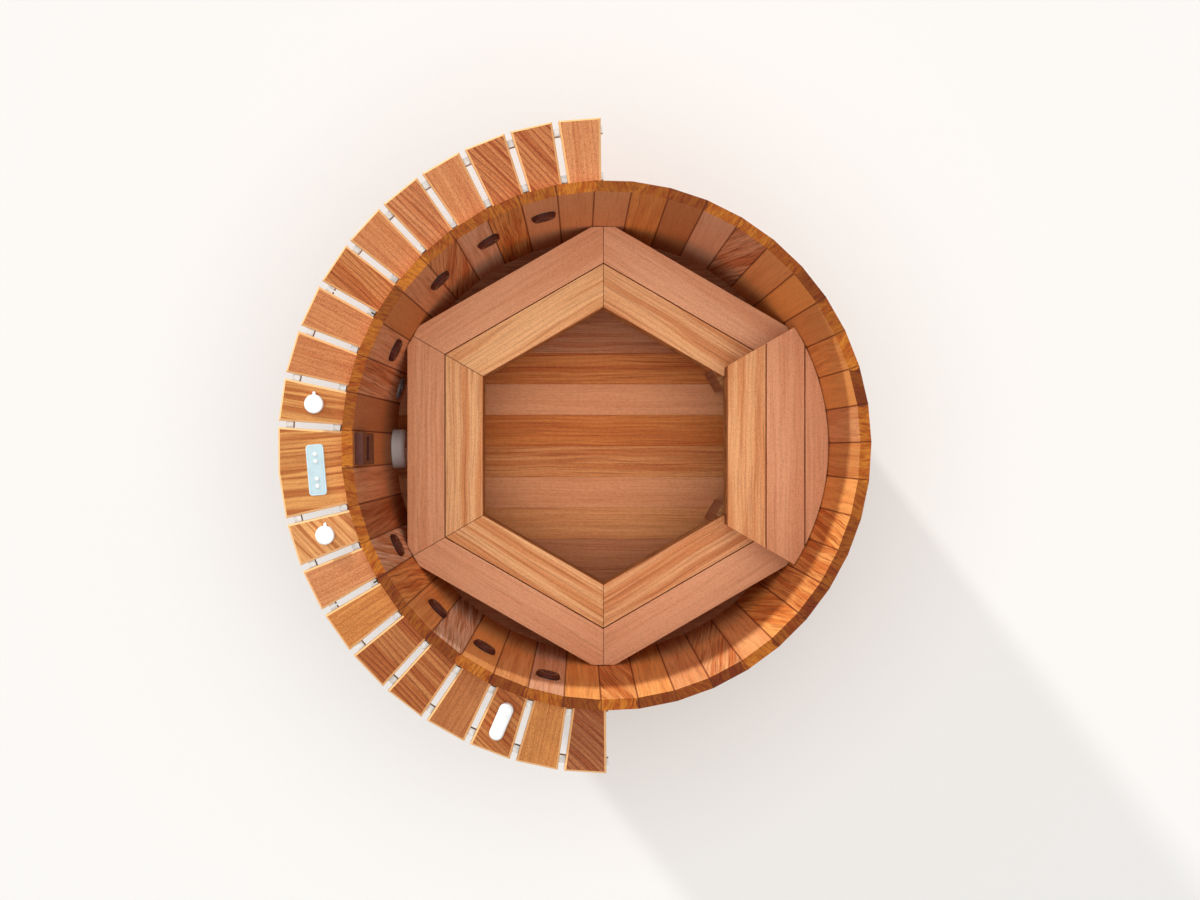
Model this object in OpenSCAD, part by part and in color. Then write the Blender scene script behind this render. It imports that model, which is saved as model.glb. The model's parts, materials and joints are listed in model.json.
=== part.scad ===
// Round wooden hot tub: coopered staves in steel hoops, a floor let into a croze,
// a six-sided bench with one raised seat, and a slatted half-round shelf that
// carries the controls over the plumbing.
// The origin is on the tub's axis at the ground. +X points to the raised seat,
// and the skimmer, the controls and the pipes are on the -X side.

/* [Tub] */
// Outside diameter, measured over the stave joints
tub_d = 1829; // [1760:10:1960]
// Height of the rim above the ground
rim_z = 1194; // [1170:5:1300]
// Number of staves round the wall
stave_count = 43; // [42:1:45]
// Thickness of a stave
stave_t = 38; // [34:1:42]
// Rise of the bead along a stave's edge
bead_rise = 9.5; // [6:0.5:11]
// Space left in each bead and cove joint
stave_gap = 0.2; // [0.15:0.05:0.4]
// Depth of the croze, the groove that holds the floor
croze_depth = 10; // [8:1:14]
// Height of the stave feet above the ground
foot_z = 25; // [15:1:40]
// Direction of the middle of the stave that holds the skimmer, in degrees
skimmer_angle = 180.75; // [178:0.25:183]

/* [Floor] */
// Width of a floor joist
joist_w = 89; // [70:1:100]
// Height of a floor joist
joist_h = 89; // [75:1:110]
// Number of joists under the floor, an odd number
joist_count = 5; // [3:2:5]
// Distance from one joist to the next
joist_pitch = 350; // [320:5:360]
// Thickness of the floor boards
floor_t = 38; // [32:1:42]
// Width of a floor board
floor_board_w = 132; // [110:1:150]
// Gap between two floor boards
floor_gap = 0.4; // [0.2:0.1:1.5]

/* [Hoops] */
// Width of a hoop
hoop_w = 38; // [30:1:42]
// Thickness of a hoop
hoop_t = 2.5; // [1.5:0.5:3]
// Height of the second hoop's middle above the ground
hoop_2_z = 400; // [370:5:430]
// Height of the third hoop's middle above the ground
hoop_3_z = 560; // [500:5:570]
// Depth of the top hoop's middle below the rim
hoop_4_drop = 219; // [215:1:222]
// Width of the gap between a hoop's ends
hoop_break = 60; // [50:1:80]
// Diameter of a hoop's tension rod
hoop_rod_d = 12; // [8:1:14]

/* [Bench] */
// Height of the bench top above the floor
bench_h = 374; // [340:1:400]
// Distance from the wall to the straight outer edge of the bench
bench_side_gap = 96; // [85:1:110]
// Width of a bench board
bench_board_w = 147; // [135:1:150]
// Gap between two bench boards
bench_gap = 4; // [2:0.5:8]
// Gap at the mitres between two sides of the bench
mitre_gap = 1.5; // [1:0.5:4]
// Thickness of the bench boards
bench_t = 38; // [32:1:42]
// Gap between the bench and the wall
bench_wall_gap = 2.5; // [2:0.5:6]
// Height of the apron under the bench's inner edge
apron_h = 140; // [100:1:160]
// Thickness of the aprons
apron_t = 38; // [30:1:42]
// Distance that the apron stands back from the edge above it
apron_inset = 2; // [0:0.5:8]
// Width of a bench bearer
bearer_w = 76; // [64:1:90]
// Height of a bench bearer
bearer_h = 89; // [75:1:100]
// Width of a bench leg
leg_w = 89; // [80:1:100]
// Thickness of a bench leg
leg_t = 38; // [32:1:42]

/* [Raised seat] */
// Height of the raised seat above the bench
seat_rise = 139; // [120:1:160]
// Distance that the raised seat runs over the bench beside it
seat_overlap = 30; // [24:1:40]
// Distance from the middle of the seat to each seat joist
seat_joist_y = 130; // [100:5:160]

/* [Shelf] */
// Depth of the shelf top below the rim
shelf_drop = 40; // [30:1:48]
// Number of slat places round the shelf
shelf_units = 21; // [21:1:21]
// Direction of the shelf's first end, in degrees
shelf_start = 90.5; // [88:0.5:93]
// Length of a slat, from the wall outwards
slat_len = 224; // [210:1:240]
// Thickness of a slat
slat_t = 38; // [28:1:42]
// Gap between two slats
slat_gap = 22; // [15:1:26]
// Width of the bevel on the slat's outer edges
slat_bevel = 7; // [4:0.5:8]
// Width of a shelf rail
rail_w = 26; // [20:1:30]
// Height of a shelf rail
rail_h = 25; // [20:1:30]
// Distance from the slat's ends to the middle of each rail
rail_inset = 30; // [24:1:34]
// Thickness of a bracket's web
bracket_t = 8; // [5:1:10]

/* [Jets] */
// Diameter of a jet's flange
jet_flange_d = 92; // [84:1:96]
// Diameter of a jet's barrel
jet_barrel_d = 60; // [54:1:62]
// Thickness of a jet's turning face
jet_face_t = 9; // [7:0.5:12]

/* [Skimmer] */
// Width of the skimmer's face
skimmer_w = 113; // [106:1:116]
// Height of the skimmer's face
skimmer_h = 242; // [230:1:250]
// Distance that the skimmer's face stands out of the wall
skimmer_proud = 28; // [24:1:36]
// Depth of the skimmer's top below the rim
skimmer_drop = 43; // [36:1:50]
// Width of the skimmer's mouth
mouth_w = 84; // [76:1:88]
// Height of the skimmer's mouth
mouth_h = 58; // [50:1:60]

/* [Drains] */
// Diameter of the round suction cover
suction_d = 165; // [150:1:172]
// Distance that the suction cover stands out of the wall
suction_proud = 52; // [46:1:60]
// Height of the suction cover's middle above the floor
suction_h = 88; // [87:1:100]
// Height of the drain's middle above the floor
drain_h = 143; // [130:1:150]

/* [Controls] */
// Diameter of an air knob
knob_d = 66; // [58:1:72]
// Height of an air knob
knob_h = 18; // [14:1:24]
// Distance from the tub's side to the middle of the air knobs
knob_out = 108.5; // [104:0.5:114]
// Distance from the tub's side to the middle of the lever
lever_out = 108.5; // [104:0.5:114]
// Length of the lever
lever_len = 136; // [120:1:140]
// Width of the lever
lever_w = 50; // [44:1:54]
// Height of the lever
lever_h = 26; // [22:1:32]
// Distance from the tub's side to the middle of the control panel
panel_out = 95.5; // [90:0.5:110]
// Length of the control panel, along the shelf
panel_len = 176; // [160:1:184]
// Width of the control panel
panel_w = 60; // [54:1:66]
// Diameter of a panel button
button_d = 15; // [12:0.5:17]
// Travel of a panel button
button_travel = 0.6; // [0.4:0.1:1]

/* [Plumbing] */
// Outside diameter of the water pipes
water_pipe_d = 48; // [42:1:52]
// Outside diameter of the air pipes
air_pipe_d = 26; // [20:1:28]
// Depth of the water ring below the rim
water_ring_drop = 554; // [535:5:575]
// Diameter of the pipe that the unions take
union_bore_d = 60.4; // [58:0.2:62]

/* [Hidden] */

$fn = 96;
// Gap between a piece and its seat, and between a turning pin and its bore
seat_fit = 0.3;
pin_fit = 0.1;

// Wall
tub_r = tub_d / 2;
pitch = 360 / stave_count;
outer_flat = tub_r * cos(pitch / 2);
inner_flat = outer_flat - stave_t;
stave_len = rim_z - foot_z;
bead_chord = stave_t / cos(pitch / 2);
bead_r = (pow(bead_chord / 2, 2) + pow(bead_rise, 2)) / (2 * bead_rise);
bead_mid = (outer_flat - stave_t / 2) / cos(pitch / 2);
bead_steps = 8;

// Floor
floor_z = joist_h;
floor_top = floor_z + floor_t;
croze_r = inner_flat + croze_depth;

// Bench and raised seat
corner = 30;
bench_top = floor_top + bench_h;
bench_under = bench_top - bench_t;
bench_outer = inner_flat - bench_side_gap;
bench_inner = bench_outer - 2 * bench_board_w - bench_gap;
bench_reach = inner_flat - bench_wall_gap;
apron_face = bench_inner + apron_inset;
apron_back = apron_face + apron_t;
leg_face = apron_face / cos(corner) - leg_w / 2 * tan(corner);
seat_top = bench_top + seat_rise;
seat_under = seat_top - bench_t;
riser_back = seat_overlap - apron_t;
riser_inset = 2;
batten_h = 64;
batten_inset = 20;
leg_gap = 4;
leg_wall_gap = 2;

// Hoops, from the floor up, and the direction of each hoop's break
hoop_places = [
    [floor_z + floor_t / 2, 14],
    [hoop_2_z, -12],
    [hoop_3_z, 14],
    [rim_z - hoop_4_drop, -12]
];
hoop_in = tub_r + seat_fit;
hoop_out = hoop_in + hoop_t;
lug_len = 42;
lug_depth = 26;
rod_tail = 30;

// Jets: direction in degrees and depth below the rim
jets = [
    [105.1, 290], [119.7, 325], [135, 362], [155.5, 435],
    [205.6, 435], [224.2, 362], [239.1, 325], [256, 290]
];
gasket_t = 4;
jet_flange_t = 5;
jet_nut_t = 14;
jet_nut_d = 84;
jet_tail = 68;
jet_bore_d = 42;
water_port_r = tub_r + 52;
air_port_r = tub_r + 34;
port_drop = 44;
air_port_d = 14;
water_port_d = 28;

// Shelf
shelf_top = rim_z - shelf_drop;
slat_z = shelf_top - slat_t;
rail_z = slat_z - rail_h;
shelf_gap = 1;
slat_in = tub_r + shelf_gap;
slat_out = slat_in + slat_len;
unit = 180 / shelf_units;
knob_units = [10, 13];
lever_unit = 19;
block_unit = 11;
rail_radii = [slat_in + rail_inset, slat_out - rail_inset];
// Stave and sideways offset of each bracket, counted from the skimmer's stave
brackets = [[-10, 0], [-6, 0], [-4, 0], [-2, 0], [1, 0], [3, -36], [4, 0], [6, 0], [10, 0]];
bracket_arm_h = 26;
bracket_post = 13;
bracket_foot_drop = 240;
bracket_tip = 36;
bracket_toe = 22;
bracket_knee = 52;
bracket_pad = [6, 46, 74];
pad_drop = 2;
bolt_d = 8;
bolt_len = 30;
bolt_head_d = 15;
bolt_head_t = 6;
bolt_edge = 10;
bolt_tip_gap = 2;

// Skimmer
skimmer_top = rim_z - skimmer_drop;
skimmer_foot = skimmer_top - skimmer_h;
skimmer_wall = 5;
mouth_rise = 12;
mouth_z = skimmer_foot + skimmer_h / 2 + mouth_rise;
flap_t = 3;
flap_pin_d = 4;
flap_pin_rise = 5;
flap_pin_depth = 6;
flap_pin_z = mouth_z - mouth_h / 2 + flap_pin_rise;
flap_pin_x = inner_flat + flap_pin_depth;
skimmer_body_gap = 12;
skimmer_body_x = tub_r + skimmer_body_gap;
skimmer_body_depth = 66;
skimmer_rail_gap = 6;
skimmer_body_top = rail_z - skimmer_rail_gap;
skimmer_body_rise = 24;
skimmer_body_foot = skimmer_foot + skimmer_body_rise;
skimmer_spigot = 20;
skimmer_back = skimmer_body_x + skimmer_body_depth;
skimmer_outlet_rise = 38;
skimmer_outlet_z = skimmer_body_foot + skimmer_outlet_rise;
skimmer_union_len = 60;

// Drain and suction
suction_z = floor_top + suction_h;
suction_slot_w = 4;
// Each ring of slots: their number, then how far from the middle they start and end
suction_slots = [[12, 16, 33], [24, 39, 56]];
drain_z = floor_top + drain_h;
drain_stave_no = -2;
drain_flange_d = 93;
barrel_d = 76;
union_d = 88;
union_len = 62;
union_gap = 6;
union_bore_len = 40;
pipe_wall = 5;
fitting_flange_t = 8;
fitting_tail = 40;
lock_nut_t = 16;
lock_nut_rim = 14;

// Controls
knob_r = tub_r + knob_out;
knob_stem_d = 16;
knob_stem_drop = 20;
stem_room = 2;
pointer_w = 10;
pointer_len = 11;
stem_root = 2;
air_valve_d = 50;
air_valve_len = 96;
valve_rim = 8;
lever_turn = 67;
lever_r = tub_r + lever_out;
lever_gap = 0.5;
lever_stem_d = 18;
lever_stem_drop = 30;
lever_edge = 8;
lever_boss_h = 4;
panel_angle = unit_angle(block_unit + 0.5);
panel_r = tub_r + panel_out;
panel_depth = 12;
panel_proud = 3;
panel_corner = 12;
overlay_border = 5;
overlay_t = 1.2;
button_places = [-55.5, -30.5, 30.5, 55.5];
button_len = 7;
button_proud = 1.6;
air_ring_drop = 61;
air_ring_z = rail_z - air_ring_drop;
water_ring_z = rim_z - water_ring_drop;
diverter_neck_d = 30;
diverter_body_d = 72;
diverter_body_h = 80;
diverter_gap = 8;
diverter_port_w = 10;

// Colours
cedar = "#b9784f";
cedar_pale = "#d6a36d";
cedar_red = "#c98d69";
cedar_dark = "#8d5a34";
steel = "#b9bcbf";
rail_grey = "#bdb9b0";
plastic_brown = "#4d2b24";
plastic_white = "#f1f1ee";
plastic_grey = "#8b8d90";
pipe_black = "#26282a";
panel_blue = "#b9dbe4";
rubber_black = "#1c1c1d";

// Direction of stave number n, counted from the skimmer's stave
function stave_angle(n) = skimmer_angle + n * pitch;
// Direction of the middle of shelf unit u, which counts from 1
function unit_angle(u) = shelf_start + unit * (u - 0.5);
// Height of a jet's axis
function jet_z(jet) = rim_z - jet[1];
// Half-size in degrees of a hole of radius r at the wall
function hole_reach(r) = atan(r / inner_flat);
// The jets whose holes cut stave n
function jets_in(n) = [for (jet = jets)
    if (abs(jet[0] - stave_angle(n)) < pitch / 2 + hole_reach(jet_barrel_d / 2 + bead_rise)) jet];
// Corners of a regular polygon with flat faces at the given distance, one per stave
function wall_corners(flat) = [for (i = [0:stave_count - 1])
    flat / cos(pitch / 2) * [cos(stave_angle(i + 0.5)), sin(stave_angle(i + 0.5))]];

// ---------- Shared shapes ----------

// Turns to a direction, goes out to a radius and up to a height
module polar(angle, r = 0, z = 0) {
    rotate(angle) translate([r, 0, z]) children();
}

// Turns a shape that stands along Z so that it points outwards along X
module outward() {
    rotate([0, 90, 0]) children();
}

// Turns a shape that stands along Z so that it points back to the axis
module inward() {
    rotate([0, -90, 0]) children();
}

// A flat ring standing along Z
module ring(d_out, d_in, h) {
    difference() {
        cylinder(d = d_out, h = h);
        translate([0, 0, -1]) cylinder(d = d_in, h = h + 2);
    }
}

// The space inside the wall, out to flat faces at the given distance
module wall_space(flat) {
    linear_extrude(rim_z) polygon(wall_corners(flat));
}

// Six-sided outline with corners at 30, 90, 150 ... degrees
module hexagon(flat) {
    rotate(corner) circle(r = flat / cos(corner), $fn = 6);
}

// Rectangle with rounded corners, centred
module rounded_rect(size, r) {
    square([size[0] - 2 * r, size[1]], center = true);
    square([size[0], size[1] - 2 * r], center = true);
    for (sx = [-1, 1], sy = [-1, 1])
        translate([sx * (size[0] / 2 - r), sy * (size[1] / 2 - r)]) circle(r = r);
}

// ---------- Staves ----------

// Turns a point about the axis
function spin(angle, p) = [p[0] * cos(angle) - p[1] * sin(angle), p[0] * sin(angle) + p[1] * cos(angle)];

// Points across a seam along the bead, from the inner corner outwards. A gap makes it the cove
function seam_curve(angle, gap) = let (r = bead_r + gap, half = asin(bead_chord / 2 / r))
    [for (i = [0:bead_steps]) let (a = half * (2 * i / bead_steps - 1) - 90)
        spin(angle, [bead_mid + r * cos(a), bead_r - bead_rise + r * sin(a)])];

// Section of one stave, with its bead on the clockwise edge and its cove on the other
module stave_section() {
    bead = seam_curve(-pitch / 2, 0);
    cove = seam_curve(pitch / 2, stave_gap);
    polygon(concat(bead, [for (i = [bead_steps:-1:0]) cove[i]]));
}

// One stave at its place in the wall, with the croze cut across its inner face
module stave(n) {
    difference() {
        rotate(stave_angle(n)) translate([0, 0, foot_z]) linear_extrude(stave_len) stave_section();
        translate([0, 0, floor_z]) cylinder(r = croze_r, h = floor_t);
    }
}

// Pilot holes for the bracket bolts in stave n
module bolt_holes(n) {
    for (b = brackets)
        if (b[0] == n) rotate(stave_angle(n)) translate([outer_flat, b[1], 0])
            bolt_places() outward() translate([0, 0, -bolt_len])
                cylinder(d = bolt_d + pin_fit, h = 2 * bolt_len);
}

// Holes for the barrels of the jets that meet stave n
module jet_holes(n) {
    for (jet = jets_in(n)) polar(jet[0], inner_flat - stave_t, jet_z(jet))
        outward() cylinder(d = jet_barrel_d + 2 * seat_fit, h = 3 * stave_t);
}

last_stave = stave_count - 1;

module staves() {
    color(cedar) for (n = [1:last_stave])
        if (len(jets_in(n)) + len(jets_in(n - stave_count)) == 0 && n != drain_stave_no + stave_count)
            difference() {
                stave(n);
                bolt_holes(n);
                bolt_holes(n - stave_count);
            }
}

module jet_staves() {
    color(cedar) for (n = [-stave_count / 2 + 0.5:stave_count / 2])
        if (len(jets_in(n)) > 0) difference() {
            stave(n);
            jet_holes(n);
            bolt_holes(n);
        }
}

module skimmer_stave() {
    throat_w = mouth_w + 2 * (skimmer_wall + seat_fit);
    throat_h = mouth_h + 2 * (skimmer_wall + seat_fit);
    color(cedar) difference() {
        stave(0);
        polar(skimmer_angle, inner_flat - stave_t, mouth_z)
            translate([0, -throat_w / 2, -throat_h / 2]) cube([3 * stave_t, throat_w, throat_h]);
        polar(skimmer_angle, inner_flat - stave_t, suction_z) outward()
            cylinder(d = barrel_d + 2 * seat_fit, h = 3 * stave_t);
    }
}

module drain_stave() {
    color(cedar) difference() {
        stave(drain_stave_no);
        bolt_holes(drain_stave_no);
        polar(stave_angle(drain_stave_no), inner_flat - stave_t, drain_z) outward()
            cylinder(d = barrel_d + 2 * seat_fit, h = 3 * stave_t);
    }
}

// ---------- Floor ----------

module floor_joists() {
    color(cedar_dark) for (i = [0:joist_count - 1]) {
        x = (i - (joist_count - 1) / 2) * joist_pitch;
        half = sqrt(pow(inner_flat - seat_fit, 2) - pow(abs(x) + joist_w / 2, 2));
        translate([x - joist_w / 2, -half, 0]) cube([joist_w, 2 * half, joist_h]);
    }
}

module floor_boards() {
    rows = ceil(croze_r / floor_board_w);
    color(cedar_pale) translate([0, 0, floor_z]) for (i = [-rows:rows - 1])
        linear_extrude(floor_t) intersection() {
            circle(r = croze_r - seat_fit);
            translate([-croze_r, i * floor_board_w + floor_gap / 2])
                square([2 * croze_r, floor_board_w - floor_gap]);
        }
}

// ---------- Hoops ----------

// Steel bands, each open at its break
module hoops() {
    color(steel) for (hoop = hoop_places) translate([0, 0, hoop[0] - hoop_w / 2]) difference() {
        ring(2 * hoop_out, 2 * hoop_in, hoop_w);
        rotate(hoop[1]) translate([0, -hoop_break / 2, -1]) cube([2 * tub_r, hoop_break, hoop_w + 2]);
    }
}

lug_mid = hoop_out + seat_fit + lug_depth / 2;

// Bored lug at each end of every hoop
module hoop_lugs() {
    color(steel) for (hoop = hoop_places, side = [-1, 1])
        rotate(hoop[1]) translate([lug_mid, side * (hoop_break + lug_len) / 2, hoop[0]])
            rotate([90, 0, 0]) difference() {
                translate([0, 0, -lug_len / 2]) linear_extrude(lug_len) difference() {
                    union() {
                        circle(d = lug_depth);
                        translate([-lug_depth / 2, -hoop_w / 2]) square([lug_depth / 2, hoop_w]);
                    }
                    circle(d = hoop_rod_d + 2 * pin_fit);
                }
            }
}

// Tension rod through the two lugs of each hoop
module hoop_rods() {
    rod_len = hoop_break + 2 * (lug_len + rod_tail);
    color(steel) for (hoop = hoop_places)
        rotate(hoop[1]) translate([lug_mid, 0, hoop[0]]) rotate([90, 0, 0])
            translate([0, 0, -rod_len / 2]) cylinder(d = hoop_rod_d, h = rod_len);
}

// Nut at the outer end of each lug
module hoop_nuts() {
    nut_t = hoop_rod_d * 0.8;
    color(steel) for (hoop = hoop_places, side = [-1, 1])
        rotate(hoop[1]) translate([lug_mid, side * (hoop_break / 2 + lug_len + nut_t / 2), hoop[0]])
            rotate([90, 0, 0]) translate([0, 0, -nut_t / 2]) difference() {
                cylinder(d = hoop_rod_d * 1.8, h = nut_t, $fn = 6);
                translate([0, 0, -1]) cylinder(d = hoop_rod_d + 2 * pin_fit, h = nut_t + 2);
            }
}

// ---------- Bench ----------

// Sides of the bench that stand at bench height
bench_sides = [60, 120, 180, 240, 300];

// Plan of one mitred board of a bench side, between two distances from the axis
module mitred_strip(x0, x1) {
    t = tan(corner);
    g = mitre_gap / 2 / cos(corner);
    polygon([[x0, -x0 * t + g], [x1, -x1 * t + g], [x1, x1 * t - g], [x0, x0 * t - g]]);
}

module bench_outer_boards() {
    color(cedar_red) translate([0, 0, bench_under]) for (side = bench_sides)
        rotate(side) linear_extrude(bench_t) intersection() {
            mitred_strip(bench_inner + bench_board_w + bench_gap, bench_outer);
            rotate(corner) hexagon(bench_reach);
        }
}

module bench_inner_boards() {
    color(cedar_pale) translate([0, 0, bench_under]) for (side = bench_sides)
        rotate(side) linear_extrude(bench_t) mitred_strip(bench_inner, bench_inner + bench_board_w);
}

// Plan of the leg that stands across each inner corner beside the raised seat
module corner_leg_plan(grow) {
    for (side = [-corner, corner]) rotate(side)
        translate([leg_face - grow, -leg_w / 2 - grow]) square([leg_t + 2 * grow, leg_w + 2 * grow]);
}

module bench_aprons() {
    color(cedar_dark) translate([0, 0, bench_under - apron_h]) linear_extrude(apron_h)
        difference() {
            for (side = bench_sides) rotate(side) mitred_strip(apron_face, apron_back);
            corner_leg_plan(seat_fit);
        }
}

module bench_bearers() {
    color(cedar_dark) translate([0, 0, bench_under - bearer_h]) linear_extrude(bearer_h) difference() {
        for (side = [corner:60:330]) rotate(side)
            translate([bench_inner, -bearer_w / 2]) square([bench_reach - bench_inner, bearer_w]);
        hexagon(apron_back + seat_fit);
        corner_leg_plan(seat_fit);
    }
}

// Batten that ties the two boards of each side together underneath
module bench_battens() {
    x0 = apron_back + seat_fit;
    color(cedar_dark) for (side = bench_sides) rotate(side)
        translate([x0, -leg_t / 2, bench_under - batten_h])
            cube([bench_outer - batten_inset - x0, leg_t, batten_h]);
}

module bench_legs() {
    inner_leg_r = (apron_back + seat_fit) / cos(corner) + leg_gap;
    outer_leg_r = bench_reach - leg_t - leg_wall_gap;
    seat_leg_x = sqrt(pow(bench_reach, 2) - pow(seat_joist_y + leg_w / 2, 2)) - leg_t;
    color(cedar_dark) {
        translate([0, 0, floor_top]) linear_extrude(bench_under - floor_top) corner_leg_plan(0);
        translate([0, 0, floor_top]) linear_extrude(bench_under - bearer_h - floor_top) {
            for (side = [90, 150, 210, 270]) rotate(side)
                translate([inner_leg_r, -leg_w / 2]) square([leg_t, leg_w]);
            for (side = [corner:60:330]) rotate(side)
                translate([outer_leg_r, -leg_w / 2]) square([leg_t, leg_w]);
        }
        for (side = [-1, 1])
            translate([seat_leg_x, side * seat_joist_y - leg_w / 2, floor_top])
                cube([leg_t, leg_w, bench_top - floor_top]);
    }
}

// ---------- Raised seat ----------

// Wedge between the two end lines of the raised seat, moved out by an overlap
module seat_wedge(overlap) {
    reach = 2 * tub_r;
    intersection() {
        rotate(corner) translate([-reach, overlap - 2 * reach]) square(2 * reach);
        rotate(-corner) translate([-reach, -overlap]) square(2 * reach);
        translate([0, -reach]) square(2 * reach);
    }
}

module seat_boards() {
    edges = [
        [bench_inner, bench_board_w], [bench_inner + bench_board_w + bench_gap, bench_board_w],
        [bench_outer + bench_gap, bench_reach - bench_outer]
    ];
    color(cedar_red) translate([0, 0, seat_under]) for (edge = edges)
        linear_extrude(bench_t) intersection() {
            seat_wedge(seat_overlap);
            circle(r = bench_reach);
            translate([edge[0], -tub_r]) square([edge[1], tub_d]);
        }
}

module seat_apron() {
    color(cedar_dark) translate([0, 0, bench_under]) linear_extrude(seat_under - bench_under) intersection() {
        seat_wedge(riser_back - seat_fit);
        translate([apron_face, -tub_r]) square([apron_t, tub_d]);
    }
}

module seat_risers() {
    color(cedar_dark) translate([0, 0, bench_top]) linear_extrude(seat_under - bench_top) intersection() {
        difference() {
            seat_wedge(seat_overlap - riser_inset);
            seat_wedge(riser_back);
        }
        circle(r = bench_reach);
        translate([apron_face, -tub_r]) square(tub_d);
    }
}

module seat_joists() {
    x0 = apron_back + seat_fit;
    x1 = sqrt(pow(bench_reach, 2) - pow(seat_joist_y + apron_t / 2, 2));
    color(cedar_dark) for (side = [-1, 1])
        translate([x0, side * seat_joist_y - apron_t / 2, bench_top])
            cube([x1 - x0, apron_t, seat_under - bench_top]);
}

// ---------- Shelf ----------

// Half the width of a slat at a distance from the axis
function slat_half(x) = x * tan(unit / 2) - slat_gap / 2 / cos(unit / 2);

// Plan of a slat that fills one or two shelf units, about its own middle line
module slat_plan(units) {
    turn = (units - 1) * unit / 2;
    near = [for (x = [slat_in, slat_out]) spin(-turn, [x, -slat_half(x)])];
    far = [for (x = [slat_out, slat_in]) spin(turn, [x, slat_half(x)])];
    outer = units > 1 ? [[slat_out / cos(turn), 0]] : [];
    inner = units > 1 ? [[slat_in / cos(turn), 0]] : [];
    polygon(concat(near, outer, far, inner));
}

// Block that bevels a top edge, which runs along X through the origin. The outside is at +Y for side 1
module bevel_cut(len, side) {
    block = 4 * slat_bevel;
    rotate([side * 45, 0, 0]) translate([0, side * (block / 2 - slat_bevel / sqrt(2)), 0])
        cube([len, block, 2 * block], center = true);
}

// One slat: bevelled along both sides and across its outer end
module slat(units) {
    turn = (units - 1) * unit / 2;
    mid = (slat_in + slat_out) / 2;
    difference() {
        translate([0, 0, slat_z]) linear_extrude(slat_t) slat_plan(units);
        for (side = [-1, 1]) rotate(side * turn) translate([mid, side * slat_half(mid), shelf_top])
            rotate(side * unit / 2) bevel_cut(2 * slat_len, side);
        for (a = units > 1 ? [-turn, turn] : [0]) rotate(a)
            translate([slat_out, 0, shelf_top]) rotate(-90) bevel_cut(slat_len, 1);
    }
}

function is_plain_unit(u) = u != knob_units[0] && u != knob_units[1] && u != lever_unit
    && u != block_unit && u != block_unit + 1;

module shelf_slats() {
    color(cedar_pale) for (u = [1:shelf_units])
        if (is_plain_unit(u)) rotate(unit_angle(u)) slat(1);
}

// The two slats that are bored for the air valves
module valve_slats() {
    color(cedar_pale) for (u = knob_units) rotate(unit_angle(u)) difference() {
        slat(1);
        translate([knob_r, 0, slat_z - 1]) cylinder(d = knob_stem_d + 2 * stem_room, h = slat_t + 2);
    }
}

// Place of the lever's pivot, at the inner end of the lever
lever_pivot = [
    lever_r * cos(unit_angle(lever_unit)) + (lever_len - lever_w) / 2 * cos(lever_turn),
    lever_r * sin(unit_angle(lever_unit)) + (lever_len - lever_w) / 2 * sin(lever_turn)
];

module lever_slat() {
    color(cedar_pale) difference() {
        rotate(unit_angle(lever_unit)) slat(1);
        translate([lever_pivot[0], lever_pivot[1], slat_z - 1])
            cylinder(d = lever_stem_d + 2 * stem_room, h = slat_t + 2);
    }
}

// Double-width board that holds the control panel
module control_block() {
    color(cedar_pale) difference() {
        rotate(unit_angle(block_unit + 0.5)) slat(2);
        polar(panel_angle, panel_r, shelf_top - panel_depth)
            linear_extrude(panel_depth + 1) panel_outline(-seat_fit);
    }
}

// Sector of the shelf between two directions, less than half a turn
module sector(from, to) {
    reach = 2 * slat_out;
    polygon([[0, 0], reach * [cos(from), sin(from)], reach / cos((to - from) / 2) * [cos((from + to) / 2),
        sin((from + to) / 2)], reach * [cos(to), sin(to)]]);
}

// Welded frame under a third of the shelf: two curved rails and a tie over each bracket
module shelf_frame(third) {
    from = shelf_start + third * 60 + 0.15;
    to = from + 59.7;
    color(rail_grey) translate([0, 0, rail_z]) linear_extrude(rail_h) union() {
        intersection() {
            sector(from, to);
            for (r = rail_radii) difference() {
                circle(r = r + rail_w / 2);
                circle(r = r - rail_w / 2);
            }
        }
        for (b = brackets)
            if (stave_angle(b[0]) > from && stave_angle(b[0]) < to)
                rotate(stave_angle(b[0])) translate([rail_radii[0], b[1] - rail_w / 2])
                    square([rail_radii[1] - rail_radii[0], rail_w]);
    }
}

module shelf_frame_a() { shelf_frame(0); }
module shelf_frame_b() { shelf_frame(1); }
module shelf_frame_c() { shelf_frame(2); }

bracket_x = outer_flat + seat_fit + bracket_pad[0];
bracket_end = slat_out - rail_inset + rail_w / 2;
foot_pad_z = rail_z - bracket_foot_drop;
pad_places = [rail_z - bracket_pad[2] - pad_drop, foot_pad_z];

// Side view of a bracket's triangular web
module bracket_web() {
    foot = pad_places[1];
    difference() {
        polygon([
            [bracket_x, foot], [bracket_x, rail_z], [bracket_end, rail_z],
            [bracket_end, rail_z - bracket_arm_h], [bracket_x + bracket_toe, foot]
        ]);
        polygon([
            [bracket_x + bracket_post, foot + bracket_knee],
            [bracket_x + bracket_post, rail_z - bracket_arm_h],
            [bracket_end - bracket_tip, rail_z - bracket_arm_h]
        ]);
    }
}

// The four bolts of one bracket, two in each pad, from the stave's outer face
module bolt_places() {
    for (z = pad_places, s = [-1, 1])
        translate([0, s * (bracket_pad[1] / 2 - bolt_edge), z + bracket_pad[2] / 2]) children();
}

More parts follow.
